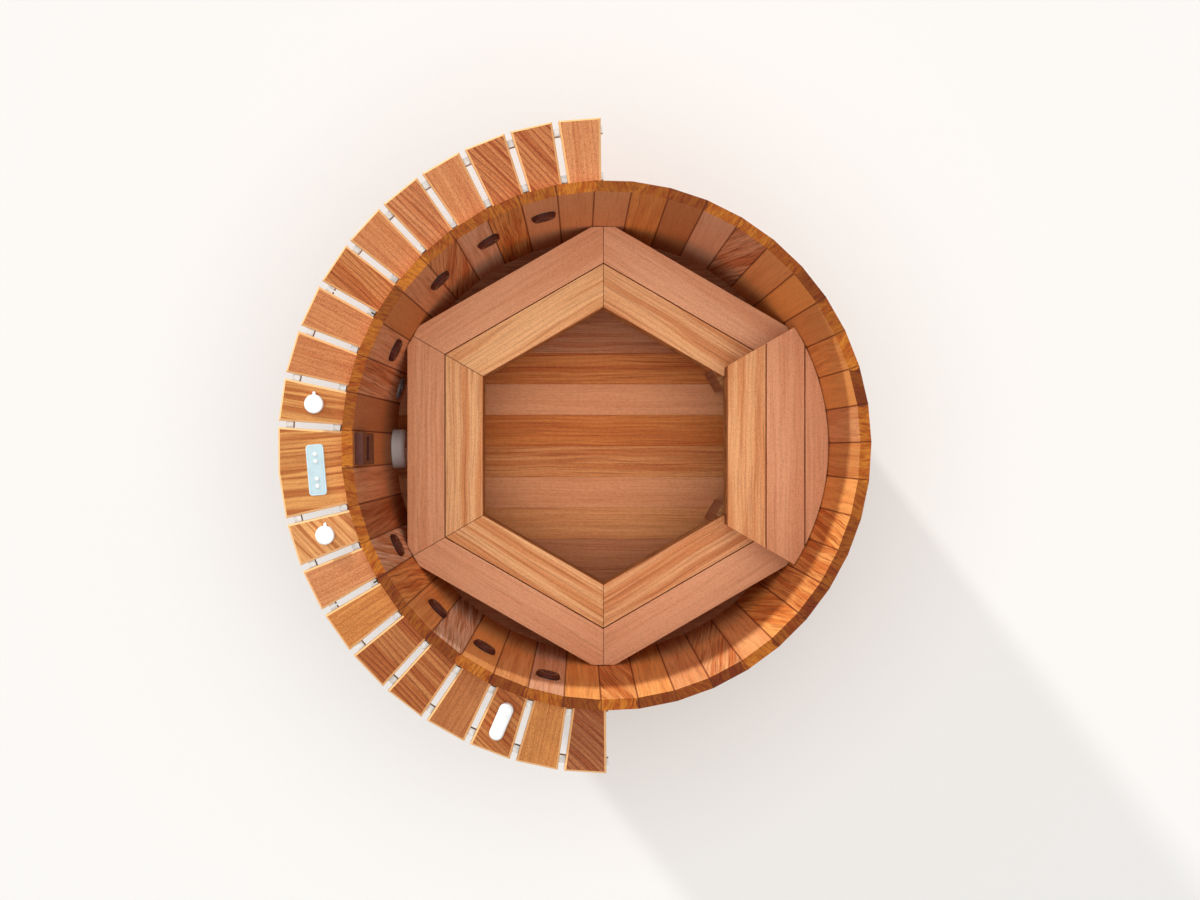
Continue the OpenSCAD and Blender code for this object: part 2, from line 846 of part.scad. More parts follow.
module shelf_brackets() {
    color(rail_grey) for (b = brackets) rotate(stave_angle(b[0])) translate([0, b[1], 0]) difference() {
        union() {
            rotate([90, 0, 0]) translate([0, 0, -bracket_t / 2]) linear_extrude(bracket_t) bracket_web();
            for (z = pad_places)
                translate([outer_flat + seat_fit, -bracket_pad[1] / 2, z]) cube(bracket_pad);
        }
        translate([outer_flat, 0, 0]) bolt_places() outward()
            translate([0, 0, -1]) cylinder(d = bolt_d + 1, h = bracket_pad[0] + 2);
    }
}

// Coach bolts with hexagon heads
module bracket_bolts() {
    color(steel) for (b = brackets) rotate(stave_angle(b[0])) translate([0, b[1], 0])
        translate([bracket_x, 0, 0]) bolt_places() outward() {
            cylinder(d = bolt_head_d, h = bolt_head_t, $fn = 6);
            translate([0, 0, bolt_tip_gap - bolt_len]) cylinder(d = bolt_d, h = bolt_len - bolt_tip_gap);
        }
}

// ---------- Control panel ----------

// Goes to the panel's middle on the shelf top, with X along its width
module at_panel() {
    polar(panel_angle, panel_r, shelf_top) children();
}

// Outline of the control panel, drawn in from its edge
module panel_outline(inset) {
    rounded_rect([panel_w - 2 * inset, panel_len - 2 * inset], panel_corner - inset);
}

module panel_housing() {
    color(plastic_white) at_panel() difference() {
        translate([0, 0, -panel_depth]) linear_extrude(panel_depth + panel_proud) panel_outline(0);
        translate([0, 0, panel_proud - overlay_t])
            linear_extrude(overlay_t + 1) panel_outline(overlay_border);
        for (y = button_places)
            translate([0, y, panel_proud + button_proud - button_len - button_travel - seat_fit])
                cylinder(d = button_d + 2 * seat_fit, h = 2 * button_len);
    }
}

module panel_overlay() {
    color(panel_blue) at_panel() translate([0, 0, panel_proud - overlay_t]) difference() {
        linear_extrude(overlay_t) panel_outline(overlay_border + seat_fit);
        for (y = button_places)
            translate([0, y, -1]) cylinder(d = button_d + 2 * seat_fit, h = overlay_t + 2);
    }
}

module panel_button(i) {
    color(plastic_white) at_panel() translate([0, button_places[i], panel_proud + button_proud - button_len])
        rotate_extrude() {
            square([button_d / 2, button_len - 1]);
            square([button_d / 2 - 1, button_len]);
            translate([button_d / 2 - 1, button_len - 1]) intersection() {
                circle(r = 1);
                square(1);
            }
        }
}

module panel_button_1() { panel_button(0); }
module panel_button_2() { panel_button(1); }
module panel_button_3() { panel_button(2); }
module panel_button_4() { panel_button(3); }

// ---------- Air valves and lever ----------

// Round knob with a rounded edge, a pointer to +Y and a stem down through the slat
module air_knob(u) {
    edge = 5;
    reach = (knob_d - pointer_w) / 2 + pointer_len;
    pointer_h = knob_h * 0.55;
    color(plastic_white) polar(unit_angle(u), knob_r, shelf_top) rotate(-unit_angle(u)) {
        translate([0, 0, lever_gap]) {
            rotate_extrude() {
                square([knob_d / 2, knob_h - edge]);
                square([knob_d / 2 - edge, knob_h]);
                translate([knob_d / 2 - edge, knob_h - edge]) intersection() {
                    circle(r = edge);
                    square(edge);
                }
            }
            translate([-pointer_w / 2, 0, 0]) cube([pointer_w, reach, pointer_h]);
            translate([0, reach, 0]) cylinder(d = pointer_w, h = pointer_h);
        }
        translate([0, 0, -slat_t - knob_stem_drop])
            cylinder(d = knob_stem_d, h = slat_t + knob_stem_drop + stem_root);
    }
}

module air_knob_a() { air_knob(knob_units[0]); }
module air_knob_b() { air_knob(knob_units[1]); }

// Valve body under each knob, with a flange against the slat
module air_valves() {
    color(pipe_black) for (u = knob_units) polar(unit_angle(u), knob_r, slat_z) difference() {
        union() {
            translate([0, 0, -air_valve_len]) cylinder(d = air_valve_d, h = air_valve_len);
            translate([0, 0, -valve_rim]) cylinder(d = air_valve_d + 2 * valve_rim, h = valve_rim);
        }
        translate([0, 0, -knob_stem_drop - stem_room])
            cylinder(d = knob_stem_d + 2 * pin_fit, h = knob_stem_drop + stem_room + valve_rim);
    }
}

// Rounded lever with a raised boss over its pivot
module diverter_lever() {
    reach = lever_len - lever_w;
    edge = lever_edge;
    color(plastic_white) translate([lever_pivot[0], lever_pivot[1], shelf_top]) rotate(lever_turn + 180) {
        translate([0, 0, lever_gap]) {
            for (x = [0, reach]) translate([x, 0, 0]) rotate_extrude() {
                square([lever_w / 2, lever_h - edge]);
                square([lever_w / 2 - edge, lever_h]);
                translate([lever_w / 2 - edge, lever_h - edge]) intersection() {
                    circle(r = edge);
                    square(edge);
                }
            }
            rotate([90, 0, 90]) linear_extrude(reach) {
                translate([-lever_w / 2, 0]) square([lever_w, lever_h - edge]);
                translate([edge - lever_w / 2, 0]) square([lever_w - 2 * edge, lever_h]);
                for (s = [-1, 1]) translate([s * (lever_w / 2 - edge), lever_h - edge]) circle(r = edge);
            }
            translate([0, 0, lever_h - stem_root])
                cylinder(d = lever_w * 0.72, h = lever_boss_h + stem_root);
        }
        translate([0, 0, -slat_t - lever_stem_drop])
            cylinder(d = lever_stem_d, h = slat_t + lever_stem_drop + stem_root);
    }
}

diverter_top = air_ring_z - air_pipe_d / 2 - diverter_gap;

module diverter_valve() {
    port_len = diverter_body_d + 2 * diverter_port_w;
    foot = diverter_top - diverter_body_h;
    color(pipe_black) translate([lever_pivot[0], lever_pivot[1], 0]) difference() {
        union() {
            translate([0, 0, foot]) cylinder(d = diverter_body_d, h = diverter_body_h);
            translate([0, 0, foot + 1]) cylinder(d = diverter_neck_d, h = slat_z - foot - 1);
            translate([0, 0, foot + diverter_body_h / 2]) rotate(unit_angle(lever_unit) + 90) outward()
                translate([0, 0, -port_len / 2]) cylinder(d = water_pipe_d, h = port_len);
        }
        translate([0, 0, slat_z - lever_stem_drop - stem_room])
            cylinder(d = lever_stem_d + 2 * pin_fit, h = lever_stem_drop + 2 * stem_room);
    }
}

// ---------- Jets ----------

flange_x = inner_flat - gasket_t - jet_flange_t;

// Goes to a jet's axis, with X outwards
module at_jet(jet) {
    polar(jet[0], 0, jet_z(jet)) children();
}

// Fixed part of each jet: flange, barrel through the wall, and water and air ports
module jet_fittings() {
    color(plastic_brown) for (jet = jets) at_jet(jet) difference() {
        union() {
            translate([flange_x, 0, 0]) outward() cylinder(d = jet_flange_d, h = jet_flange_t);
            translate([flange_x, 0, 0]) outward() cylinder(d = jet_barrel_d, h = tub_r + jet_tail - flange_x);
            translate([water_port_r, 0, -port_drop]) cylinder(d = water_port_d, h = port_drop);
            translate([air_port_r, 0, 0]) cylinder(d = air_port_d, h = port_drop);
        }
        translate([flange_x - 1, 0, 0]) outward() cylinder(d = jet_bore_d, h = 60);
    }
}

// Seals that fill the space between a jet and the flat staves, inside and outside
module jet_gaskets() {
    bore = jet_barrel_d + 2 * seat_fit;
    color(rubber_black) for (jet = jets) {
        intersection() {
            at_jet(jet) translate([inner_flat - gasket_t, 0, 0]) outward()
                ring(jet_flange_d - 6, bore, stave_t);
            wall_space(inner_flat - seat_fit / 2);
        }
        difference() {
            at_jet(jet) translate([outer_flat - gasket_t, 0, 0]) outward()
                ring(jet_nut_d - 8, bore, tub_r + 2 * gasket_t - outer_flat);
            wall_space(outer_flat + seat_fit / 2);
        }
    }
}

// Hexagon nut that draws each jet tight from outside
module jet_nuts() {
    color(plastic_brown) for (jet = jets) at_jet(jet)
        translate([tub_r + gasket_t, 0, 0]) outward() difference() {
            cylinder(d = jet_nut_d, h = jet_nut_t, $fn = 6);
            translate([0, 0, -1]) cylinder(d = jet_barrel_d + 2 * pin_fit, h = jet_nut_t + 2);
        }
}

// Turning face of jet i: finger notches round its rim, a raised nozzle and a hollow stem
module jet_face(i) {
    stem_d = jet_bore_d - 2 * pin_fit;
    face_d = jet_flange_d - 6;
    color(plastic_brown) at_jet(jets[i]) translate([flange_x - seat_fit, 0, 0]) inward() difference() {
        union() {
            cylinder(d = face_d, h = jet_face_t - 3);
            translate([0, 0, -30]) cylinder(d = stem_d, h = 32);
            rotate_extrude() {
                square([face_d / 2 - 3, jet_face_t]);
                square([20, jet_face_t + 3]);
            }
        }
        for (k = [0:9]) rotate(36 * k) translate([face_d / 2 + 4, 0, -1]) cylinder(r = 8, h = jet_face_t + 4);
        translate([8, 0, -31]) cylinder(d = 14, h = 60);
    }
}

module jet_face_1() { jet_face(0); }
module jet_face_2() { jet_face(1); }
module jet_face_3() { jet_face(2); }
module jet_face_4() { jet_face(3); }
module jet_face_5() { jet_face(4); }
module jet_face_6() { jet_face(5); }
module jet_face_7() { jet_face(6); }
module jet_face_8() { jet_face(7); }

// ---------- Skimmer ----------

// Upright box centred across the skimmer, from x0 to x1 and z0 to z1
module skimmer_box(x0, x1, w, z0, z1) {
    translate([x0, -w / 2, z0]) cube([x1 - x0, w, z1 - z0]);
}

// Face inside the wall, throat through the stave and body outside, with an outlet at its back
module skimmer_housing() {
    front = inner_flat - skimmer_proud;
    back = skimmer_back;
    low = mouth_z - mouth_h / 2;
    high = mouth_z + mouth_h / 2;
    body_floor = skimmer_body_foot + skimmer_wall;
    throat_w = mouth_w + 2 * skimmer_wall;
    color(plastic_brown) rotate(skimmer_angle) difference() {
        union() {
            skimmer_box(front, inner_flat - seat_fit, skimmer_w, skimmer_foot, skimmer_top);
            skimmer_box(front + 1, skimmer_body_x + 1, throat_w, low - skimmer_wall, high + skimmer_wall);
            skimmer_box(skimmer_body_x, back, skimmer_w, skimmer_body_foot, skimmer_body_top);
            translate([back - 1, 0, skimmer_outlet_z]) outward()
                cylinder(d = water_pipe_d, h = skimmer_spigot + 1);
        }
        skimmer_box(front - 1, back - skimmer_wall, mouth_w, low, high);
        skimmer_box(skimmer_body_x + skimmer_wall, back - skimmer_wall, mouth_w, body_floor, high);
        translate([back - 2 * skimmer_wall, 0, skimmer_outlet_z]) outward()
            cylinder(d = water_pipe_d - 2 * pipe_wall, h = skimmer_spigot + 3 * skimmer_wall);
        translate([flap_pin_x, 0, flap_pin_z]) rotate([90, 0, 0])
            cylinder(d = flap_pin_d + 2 * pin_fit, h = mouth_w + 6, center = true);
    }
}

// Hinged weir in the mouth, with a pin at each side
module skimmer_flap() {
    flap_w = mouth_w - 2;
    flap_h = mouth_h - 10;
    color(plastic_brown) rotate(skimmer_angle) translate([flap_pin_x, 0, flap_pin_z]) {
        rotate([90, 0, 0]) cylinder(d = flap_pin_d, h = mouth_w + 5, center = true);
        translate([-flap_t / 2, -flap_w / 2, 0]) cube([flap_t, flap_w, flap_h]);
        translate([-flap_t / 2 - 3, -flap_w / 2, flap_h - 7]) cube([flap_t + 3, flap_w, 7]);
    }
}

// ---------- Suction and drain ----------

// Domed white cover over the suction, hollow, with two rings of slots in its face
module suction_cover() {
    edge = 18;
    wall = 3.5;
    r = suction_d / 2;
    back = (inner_flat - r * sin(pitch)) / cos(pitch) - seat_fit;
    color(plastic_white) polar(skimmer_angle, back, suction_z) inward() difference() {
        rotate_extrude() difference() {
            union() {
                square([r, suction_proud - edge]);
                square([r - edge, suction_proud]);
                translate([r - edge, suction_proud - edge]) intersection() {
                    circle(r = edge);
                    square(edge);
                }
            }
            translate([0, -1]) square([r - wall, suction_proud - edge + 1]);
            square([r - edge, suction_proud - wall]);
        }
        for (ring = suction_slots, k = [1:ring[0]]) rotate(360 / ring[0] * k)
            translate([ring[1], -suction_slot_w / 2, suction_proud - 2 * wall])
                cube([ring[2] - ring[1], suction_slot_w, 3 * wall]);
    }
}

// Barrel through the wall with an inner flange, an outer nut and a pipe union
module wall_fitting(n, z, flange_d) {
    x0 = inner_flat - fitting_flange_t;
    x1 = tub_r + fitting_tail;
    mouth = x1 + union_len;
    polar(stave_angle(n), 0, z) difference() {
        union() {
            translate([x0, 0, 0]) outward() cylinder(d = flange_d, h = fitting_flange_t - seat_fit);
            translate([x0, 0, 0]) outward() cylinder(d = barrel_d, h = x1 - x0);
            translate([tub_r + seat_fit, 0, 0]) outward()
                cylinder(d = barrel_d + 2 * lock_nut_rim, h = lock_nut_t, $fn = 8);
            translate([x1 - 1, 0, 0]) outward() cylinder(d = union_d, h = union_len + 1, $fn = 8);
        }
        translate([mouth - union_bore_len, 0, 0]) outward()
            cylinder(d = union_bore_d, h = union_bore_len + 1);
        translate([x0 - 1, 0, 0]) outward() cylinder(d = union_bore_d - 12, h = 3 * tub_r);
    }
}

module suction_fitting() {
    color(plastic_grey) wall_fitting(0, suction_z, barrel_d + 10);
}

module drain_fitting() {
    color(plastic_grey) wall_fitting(drain_stave_no, drain_z, drain_flange_d);
}

// ---------- Pipes ----------

// Diameter of the branches, and the turn by which a ring runs past its last branch
stub_d = water_pipe_d - 2 * stem_room;
pipe_end = 2;

// Pipe bent round the tub between two directions
module pipe_arc(r, z, d, from, to) {
    rotate(from) translate([0, 0, z]) rotate_extrude(angle = to - from) translate([r, 0]) circle(d = d);
}

supply_angle = stave_angle(1);
union_top = water_ring_z - water_pipe_d / 2 - union_gap;

// Water ring under the jets with a riser to each, and the stub that feeds it
module water_pipes() {
    color(pipe_black) union() {
        pipe_arc(water_port_r, water_ring_z, water_pipe_d, jets[0][0] - pipe_end, jets[7][0] + pipe_end);
        for (jet = jets) polar(jet[0], water_port_r, water_ring_z)
            cylinder(d = water_port_d, h = jet_z(jet) - port_drop - water_ring_z);
        translate([lever_pivot[0], lever_pivot[1], water_ring_z])
            cylinder(d = stub_d, h = diverter_top - diverter_body_h - water_ring_z);
        polar(supply_angle, water_port_r, union_top) cylinder(d = stub_d, h = water_ring_z - union_top);
    }
}

// Union that stands along Z, with its mouth at the bottom
module pipe_union(len, through_d) {
    difference() {
        cylinder(d = union_d, h = len, $fn = 8);
        translate([0, 0, -1]) cylinder(d = union_bore_d, h = union_bore_len + 1);
        cylinder(d = through_d, h = len + 1);
    }
}

// Unions under the water ring and behind the skimmer
module pipe_unions() {
    color(plastic_grey) {
        polar(supply_angle, water_port_r, union_top - union_len)
            pipe_union(union_len, stub_d - 2 * pipe_wall);
        polar(skimmer_angle, skimmer_back + skimmer_spigot + skimmer_union_len, skimmer_outlet_z) inward()
            pipe_union(skimmer_union_len, water_pipe_d - 2 * pipe_wall);
    }
}

// Two air lines, each from its valve past four jets, with a drop to each jet
module air_pipes() {
    sides = [[jets[0][0], unit_angle(knob_units[0]), 0], [unit_angle(knob_units[1]), jets[7][0], 4]];
    color(pipe_black) for (k = [0, 1]) {
        side = sides[k];
        valve_angle = unit_angle(knob_units[k]);
        union() {
            pipe_arc(air_port_r, air_ring_z, air_pipe_d, side[0] - pipe_end, side[1] + pipe_end);
            for (i = [side[2]:side[2] + 3]) polar(jets[i][0], air_port_r, jet_z(jets[i]) + port_drop)
                cylinder(d = air_port_d, h = air_ring_z - jet_z(jets[i]) - port_drop);
            polar(valve_angle, air_port_r, air_ring_z) outward()
                cylinder(d = air_pipe_d - 4, h = knob_r - air_valve_d / 2 - air_port_r - seat_fit);
        }
    }
}

// ---------- Assembly ----------

floor_joists();
floor_boards();
staves();
jet_staves();
skimmer_stave();
drain_stave();
hoops();
hoop_lugs();
hoop_rods();
hoop_nuts();
bench_outer_boards();
bench_inner_boards();
bench_aprons();
bench_bearers();
bench_battens();
bench_legs();
seat_boards();
seat_apron();
seat_risers();
seat_joists();
shelf_slats();
valve_slats();
lever_slat();
control_block();
shelf_frame_a();
shelf_frame_b();
shelf_frame_c();
shelf_brackets();
bracket_bolts();
panel_housing();
panel_overlay();
panel_button_1();
panel_button_2();
panel_button_3();
panel_button_4();
air_knob_a();
air_knob_b();
air_valves();
diverter_lever();
diverter_valve();
jet_fittings();
jet_gaskets();
jet_nuts();
jet_face_1();
jet_face_2();
jet_face_3();
jet_face_4();
jet_face_5();
jet_face_6();
jet_face_7();
jet_face_8();
skimmer_housing();
skimmer_flap();
suction_cover();
suction_fitting();
drain_fitting();
water_pipes();
air_pipes();
pipe_unions();
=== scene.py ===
"""Round coopered cedar hot tub: eased timber, moulded fittings, finishes, stage and camera.

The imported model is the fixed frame. Each of its nodes gets a piece made from a merged copy, whose
boards have a grain of their own and whose edges are eased unless they are round or hidden. Threads,
rivets, nozzles, tees and a screw are modelled beside them. Lengths are in metres unless a name
ends in _mm, and angles are in degrees unless a name ends in _rad.
"""
import sys
import json
import logging
import math
import random
from collections.abc import Callable, Iterator
from contextlib import contextmanager
from dataclasses import dataclass, field
from enum import Enum

import bpy
import numpy as np
from bpy.types import Material, Mesh, Node, NodeSocket, NodeTree, Object, bpy_prop_collection
from mathutils import Matrix, Vector

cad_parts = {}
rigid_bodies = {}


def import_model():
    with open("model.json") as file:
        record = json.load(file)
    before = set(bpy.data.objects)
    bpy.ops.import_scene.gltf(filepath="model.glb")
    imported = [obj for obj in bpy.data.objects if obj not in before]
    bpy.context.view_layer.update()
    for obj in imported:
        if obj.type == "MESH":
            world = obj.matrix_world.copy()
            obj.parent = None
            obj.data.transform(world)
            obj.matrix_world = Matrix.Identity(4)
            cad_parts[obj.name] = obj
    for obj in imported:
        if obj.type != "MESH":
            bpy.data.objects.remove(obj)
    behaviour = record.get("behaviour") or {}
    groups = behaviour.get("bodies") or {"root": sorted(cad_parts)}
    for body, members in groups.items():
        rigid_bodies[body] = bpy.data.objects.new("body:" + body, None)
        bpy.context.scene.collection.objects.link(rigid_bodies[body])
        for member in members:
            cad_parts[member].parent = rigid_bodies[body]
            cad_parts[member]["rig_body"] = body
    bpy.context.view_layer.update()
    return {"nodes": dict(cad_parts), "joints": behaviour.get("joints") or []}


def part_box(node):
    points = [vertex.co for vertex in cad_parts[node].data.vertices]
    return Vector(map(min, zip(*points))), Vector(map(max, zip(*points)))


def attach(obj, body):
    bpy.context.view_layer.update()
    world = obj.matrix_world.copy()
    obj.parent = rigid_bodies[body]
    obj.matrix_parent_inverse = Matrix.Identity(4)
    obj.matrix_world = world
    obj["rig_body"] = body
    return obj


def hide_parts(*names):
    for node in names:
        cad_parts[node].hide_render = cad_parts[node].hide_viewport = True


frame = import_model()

log = logging.getLogger("hot_tub")
SMOOTH_STEP = {"interpolation_type": "SMOOTHSTEP"}
MM = 0.001
UP, EAST, NORTH = Vector((0, 0, 1)), Vector((1, 0, 0)), Vector((0, 1, 0))

# Sizes that the looks of single boards depend on, the same as in the frame
STAVE_COUNT = 43
SKIMMER_ANGLE = 180.75
STAVE_PITCH = 360 / STAVE_COUNT
SHELF_START = 90.5
SHELF_UNITS = 21
SHELF_UNIT = 180 / SHELF_UNITS
FLOOR_BOARD_W = 0.132

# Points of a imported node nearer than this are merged, and flatter edges are dissolved
MERGE = 0.00001
FLAT_DEG = 0.5
# Sharper edges are eased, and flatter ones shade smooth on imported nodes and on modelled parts
EASE_DEG = 32.0
SMOOTH_DEG = 31.0
PART_SMOOTH_DEG = 40.0
# A face is a cut end past this cosine to the board's run, and a bevel between these to upright,
# which can get a painted highlight
END_COSINE = 0.8
BEVEL_COSINES = (0.3, 0.97)
# By chance, a board's growth rings turn and its pattern shifts up to this far either way
RING_TURN_RAD = 0.5
GRAIN_SHIFT = 9.0
# A stave's side runs from -1 to 1, and only its bead stands out past this
SEAM_REACH = 1.02


def linear(hex_colour: str) -> tuple[float, float, float, float]:
    """Turns a colour from sRGB hex to linear RGBA.

    Args:
        hex_colour: The colour as "#rrggbb".

    Returns:
        The linear channels with an alpha of 1.
    """
    channels = (int(hex_colour[i:i + 2], 16) / 255 for i in (1, 3, 5))
    return (*(c / 12.92 if c <= 0.04045 else ((c + 0.055) / 1.055) ** 2.4 for c in channels), 1.0)


def add_node(tree: NodeTree, kind: str, settings: dict | None = None,
             inputs: dict | None = None) -> Node:
    """Adds a shader node with its settings, values and links.

    Args:
        tree: The node tree that takes the node.
        kind: Blender's type name of the node, without the "ShaderNode" that they all start with.
        settings: Properties of the node. "stops" fills a colour ramp with (place, hex) pairs.
        inputs: Values or output sockets by the name or number of the input socket.

    Returns:
        The new node.
    """
    node = tree.nodes.new(f"ShaderNode{kind}")
    for key, value in (settings or {}).items():
        if key == "stops":
            ramp = node.color_ramp.elements
            while len(ramp) < len(value):
                ramp.new(1.0)
            for stop, (place, hex_colour) in zip(ramp, value):
                stop.position = place
                stop.color = linear(hex_colour)
        else:
            setattr(node, key, value)
    for key, value in (inputs or {}).items():
        if isinstance(value, NodeSocket):
            tree.links.new(value, node.inputs[key])
        else:
            node.inputs[key].default_value = value
    return node


def blank_material(name: str) -> Material:
    """Makes a material with an empty node tree.

    Args:
        name: Common name of the real material.

    Returns:
        The material.
    """
    material = bpy.data.materials.new(name)
    material.use_nodes = True
    material.node_tree.nodes.clear()
    return material


def finish_surface(tree: NodeTree, inputs: dict) -> None:
    """Adds the surface shader with these inputs and joins it to the output."""
    surface = add_node(tree, "BsdfPrincipled", inputs=inputs)
    add_node(tree, "OutputMaterial", inputs={"Surface": surface.outputs["BSDF"]})


# ---------- Finishes ----------


@dataclass(frozen=True)
class Cedar:
    """Planed western red cedar. Its grain follows the "grain" attribute of each board.

    The attributes are written by Dressed: "grain" is a place on the board in metres, with X along
    the fibres, "tone" picks the board's colour, "figure" says how streaky it is, "end" marks cut
    ends, "edge" marks the bevels that get a painted highlight, "wet" says how dark a
    cut end is, and "side" is the place across a stave, from -1 to 1, which sets the painted shade
    at its seams.

    Attributes:
        name: Name of the material.
        tones: Colours of single boards, from tone 0 to tone 1.
        band: Colour that the wide bands are multiplied by, as are the next ones.
        streak: Colour of the thin lines.
        end: Colour of a wet cut end.
        end_light: Colour of a dry cut end.
        edge: Colour of the painted highlight on bevels.
        seam_shade: Colour of the painted shade at a stave's seams.
        line_mm: Width of the thin lines.
        lines: Their strength on the most figured board.
        band_mm: Width of the wide bands.
        mottle_mm: Size of the mottle's spots.
        mottle: Strength of the mottle.
        blotch: Colour of the mottle.
        fibre: Strength of the fine fibres, which are drawn coarser than real ones to show.
        fibre_dark: Colour of the fibres.
        ring_mm: Width of a growth ring.
        rings: Strength of the growth rings.
        ring: Colour of the late wood.
        roughness: Middle roughness.
        sway: Waves of the fibres in a metre, along and across the board.
        sway_reach: How far the waves move the fibres, in metres.
    """

    name: str
    tones: tuple[str, ...]
    band: str = "#d9a678"
    streak: str = "#a87a58"
    end: str = "#a8764a"
    end_light: str = "#b88658"
    edge: str = "#f8cf98"
    seam_shade: str = "#8a5c3c"
    line_mm: float = 5.0
    lines: float = 0.8
    band_mm: float = 26.0
    mottle_mm: float = 12.0
    mottle: float = 0.2
    blotch: str = "#b08468"
    fibre: float = 0.3
    fibre_dark: str = "#9c7458"
    ring_mm: float = 18.0
    rings: float = 0.35
    ring: str = "#9c6440"
    roughness: float = 0.58
    sway: tuple[float, float, float] = (2.2, 7.0, 7.0)
    sway_reach: tuple[float, float, float] = (0.0, 0.03, 0.015)

    def patterns(self, tree: NodeTree, grain: NodeSocket) -> dict[str, NodeSocket]:
        """Adds the wood's patterns, along fibres that sway slowly to both sides.

        Args:
            tree: The material's node tree.
            grain: The place on the board.

        Returns:
            The strength of each pattern by its name.
        """
        slow = add_node(tree, "VectorMath", {"operation": "MULTIPLY"},
                        {0: grain, 1: self.sway})
        sway = add_node(tree, "TexNoise", {},
                        {"Vector": slow.outputs[0], "Scale": 1.0, "Detail": 2.0})
        swayed = add_node(tree, "VectorMath", {"operation": "MULTIPLY_ADD"},
                          {0: sway.outputs["Color"], 1: self.sway_reach, 2: grain})
        line, band, spot = (1 / (width * MM)
                            for width in (self.line_mm, self.band_mm, self.mottle_mm))
        found = {}
        # Repeats in a metre along, across and through the board, and the detail of each
        for key, scale, detail in (("lines", (3.0, line, 0.22 * line), 4.0),
                                   ("bands", (1.1, band, 0.3 * band), 2.0),
                                   ("fibres", (34.0, 900.0, 900.0), 2.0),
                                   ("mottle", (0.8 * spot, 1.3 * spot, 1.3 * spot), 3.0)):
            stretched = add_node(tree, "VectorMath", {"operation": "MULTIPLY"},
                                 {0: swayed.outputs[0], 1: scale})
            found[key] = add_node(tree, "TexNoise", {},
                                  {"Vector": stretched.outputs[0], "Scale": 1.0,
                                   "Detail": detail, "Roughness": 0.6}).outputs["Fac"]
        # Growth rings: each darkens slowly to its late wood, and then starts pale again. They
        # are drawn wider than real ones to show. At scale 1 the node draws 20 / 2 pi to a metre
        drawn = add_node(tree, "VectorMath", {"operation": "MULTIPLY"},
                         {0: swayed.outputs[0], 1: (0.22, 1.0, 0.5)})
        found["rings"] = add_node(
            tree, "TexWave", {"wave_profile": "SAW", "bands_direction": "Y"},
            {"Vector": drawn.outputs[0], "Scale": math.tau / 20 / (self.ring_mm * MM),
             "Distortion": 7.0, "Detail": 1.5, "Detail Scale": 0.6}).outputs["Fac"]
        return found

    def figured(self, tree: NodeTree, read: dict[str, NodeSocket],
                patterns: dict[str, NodeSocket], colour: NodeSocket) -> NodeSocket:
        """Lays the patterns over a colour, strongest on figured boards and cut ends.

        Args:
            tree: The material's node tree.
            read: The attributes by name.
            patterns: The strength of each pattern by its name.
            colour: The plain colour.

        Returns:
            The figured colour.
        """
        # A cut end is figured like a board of figure 0.8
        cut = add_node(tree, "Math", {"operation": "MULTIPLY"}, {0: read["end"], 1: 0.8})
        figure = add_node(tree, "Math", {"operation": "MAXIMUM"},
                          {0: read["figure"], 1: cut.outputs[0]})
        # Where each pattern starts and is full, and its strength on plain and figured boards
        for key, low, high, least, most, hex_colour in (
                ("bands", 0.42, 0.62, 0.06, 0.85, self.band),
                ("lines", 0.47, 0.68, 0.12, self.lines, self.streak),
                ("rings", 0.52, 1.0, 0.0, self.rings, self.ring),
                ("mottle", 0.40, 0.70, self.mottle, self.mottle, self.blotch),
                ("fibres", 0.52, 0.70, self.fibre / 2, self.fibre, self.fibre_dark)):
            shown = add_node(tree, "MapRange", SMOOTH_STEP,
                             {"Value": patterns[key], "From Min": low, "From Max": high})
            strength = add_node(tree, "MapRange", {},
                                {"Value": figure.outputs[0], "To Min": least, "To Max": most})
            amount = add_node(tree, "Math", {"operation": "MULTIPLY"},
                              {0: shown.outputs[0], 1: strength.outputs[0]})
            colour = add_node(tree, "Mix", {"data_type": "RGBA", "blend_type": "MULTIPLY"},
                              {0: amount.outputs[0], 6: colour, 7: linear(hex_colour)}).outputs[2]
        return colour

    def material(self) -> Material:
        """Builds the material.

        Returns:
            The material.
        """
        material = blank_material(self.name)
        tree = material.node_tree
        nodes = {n: add_node(tree, "Attribute", {"attribute_name": n})
                 for n in ("grain", "tone", "figure", "end", "wet", "edge", "side")}
        read = {n: node.outputs["Fac"] for n, node in nodes.items()}
        patterns = self.patterns(tree, nodes["grain"].outputs["Vector"])
        # The board's tone, and the darker colour of its cut ends
        stops = [(i / max(1, len(self.tones) - 1), tone) for i, tone in enumerate(self.tones)]
        tone = add_node(tree, "ValToRGB", {"stops": stops}, {"Fac": read["tone"]})
        cut = add_node(tree, "Mix", {"data_type": "RGBA"},
                       {0: read["wet"], 6: linear(self.end_light), 7: linear(self.end)})
        plain = add_node(tree, "Mix", {"data_type": "RGBA"},
                         {0: read["end"], 6: tone.outputs["Color"], 7: cut.outputs[2]})
        figured = self.figured(tree, read, patterns, plain.outputs[2])
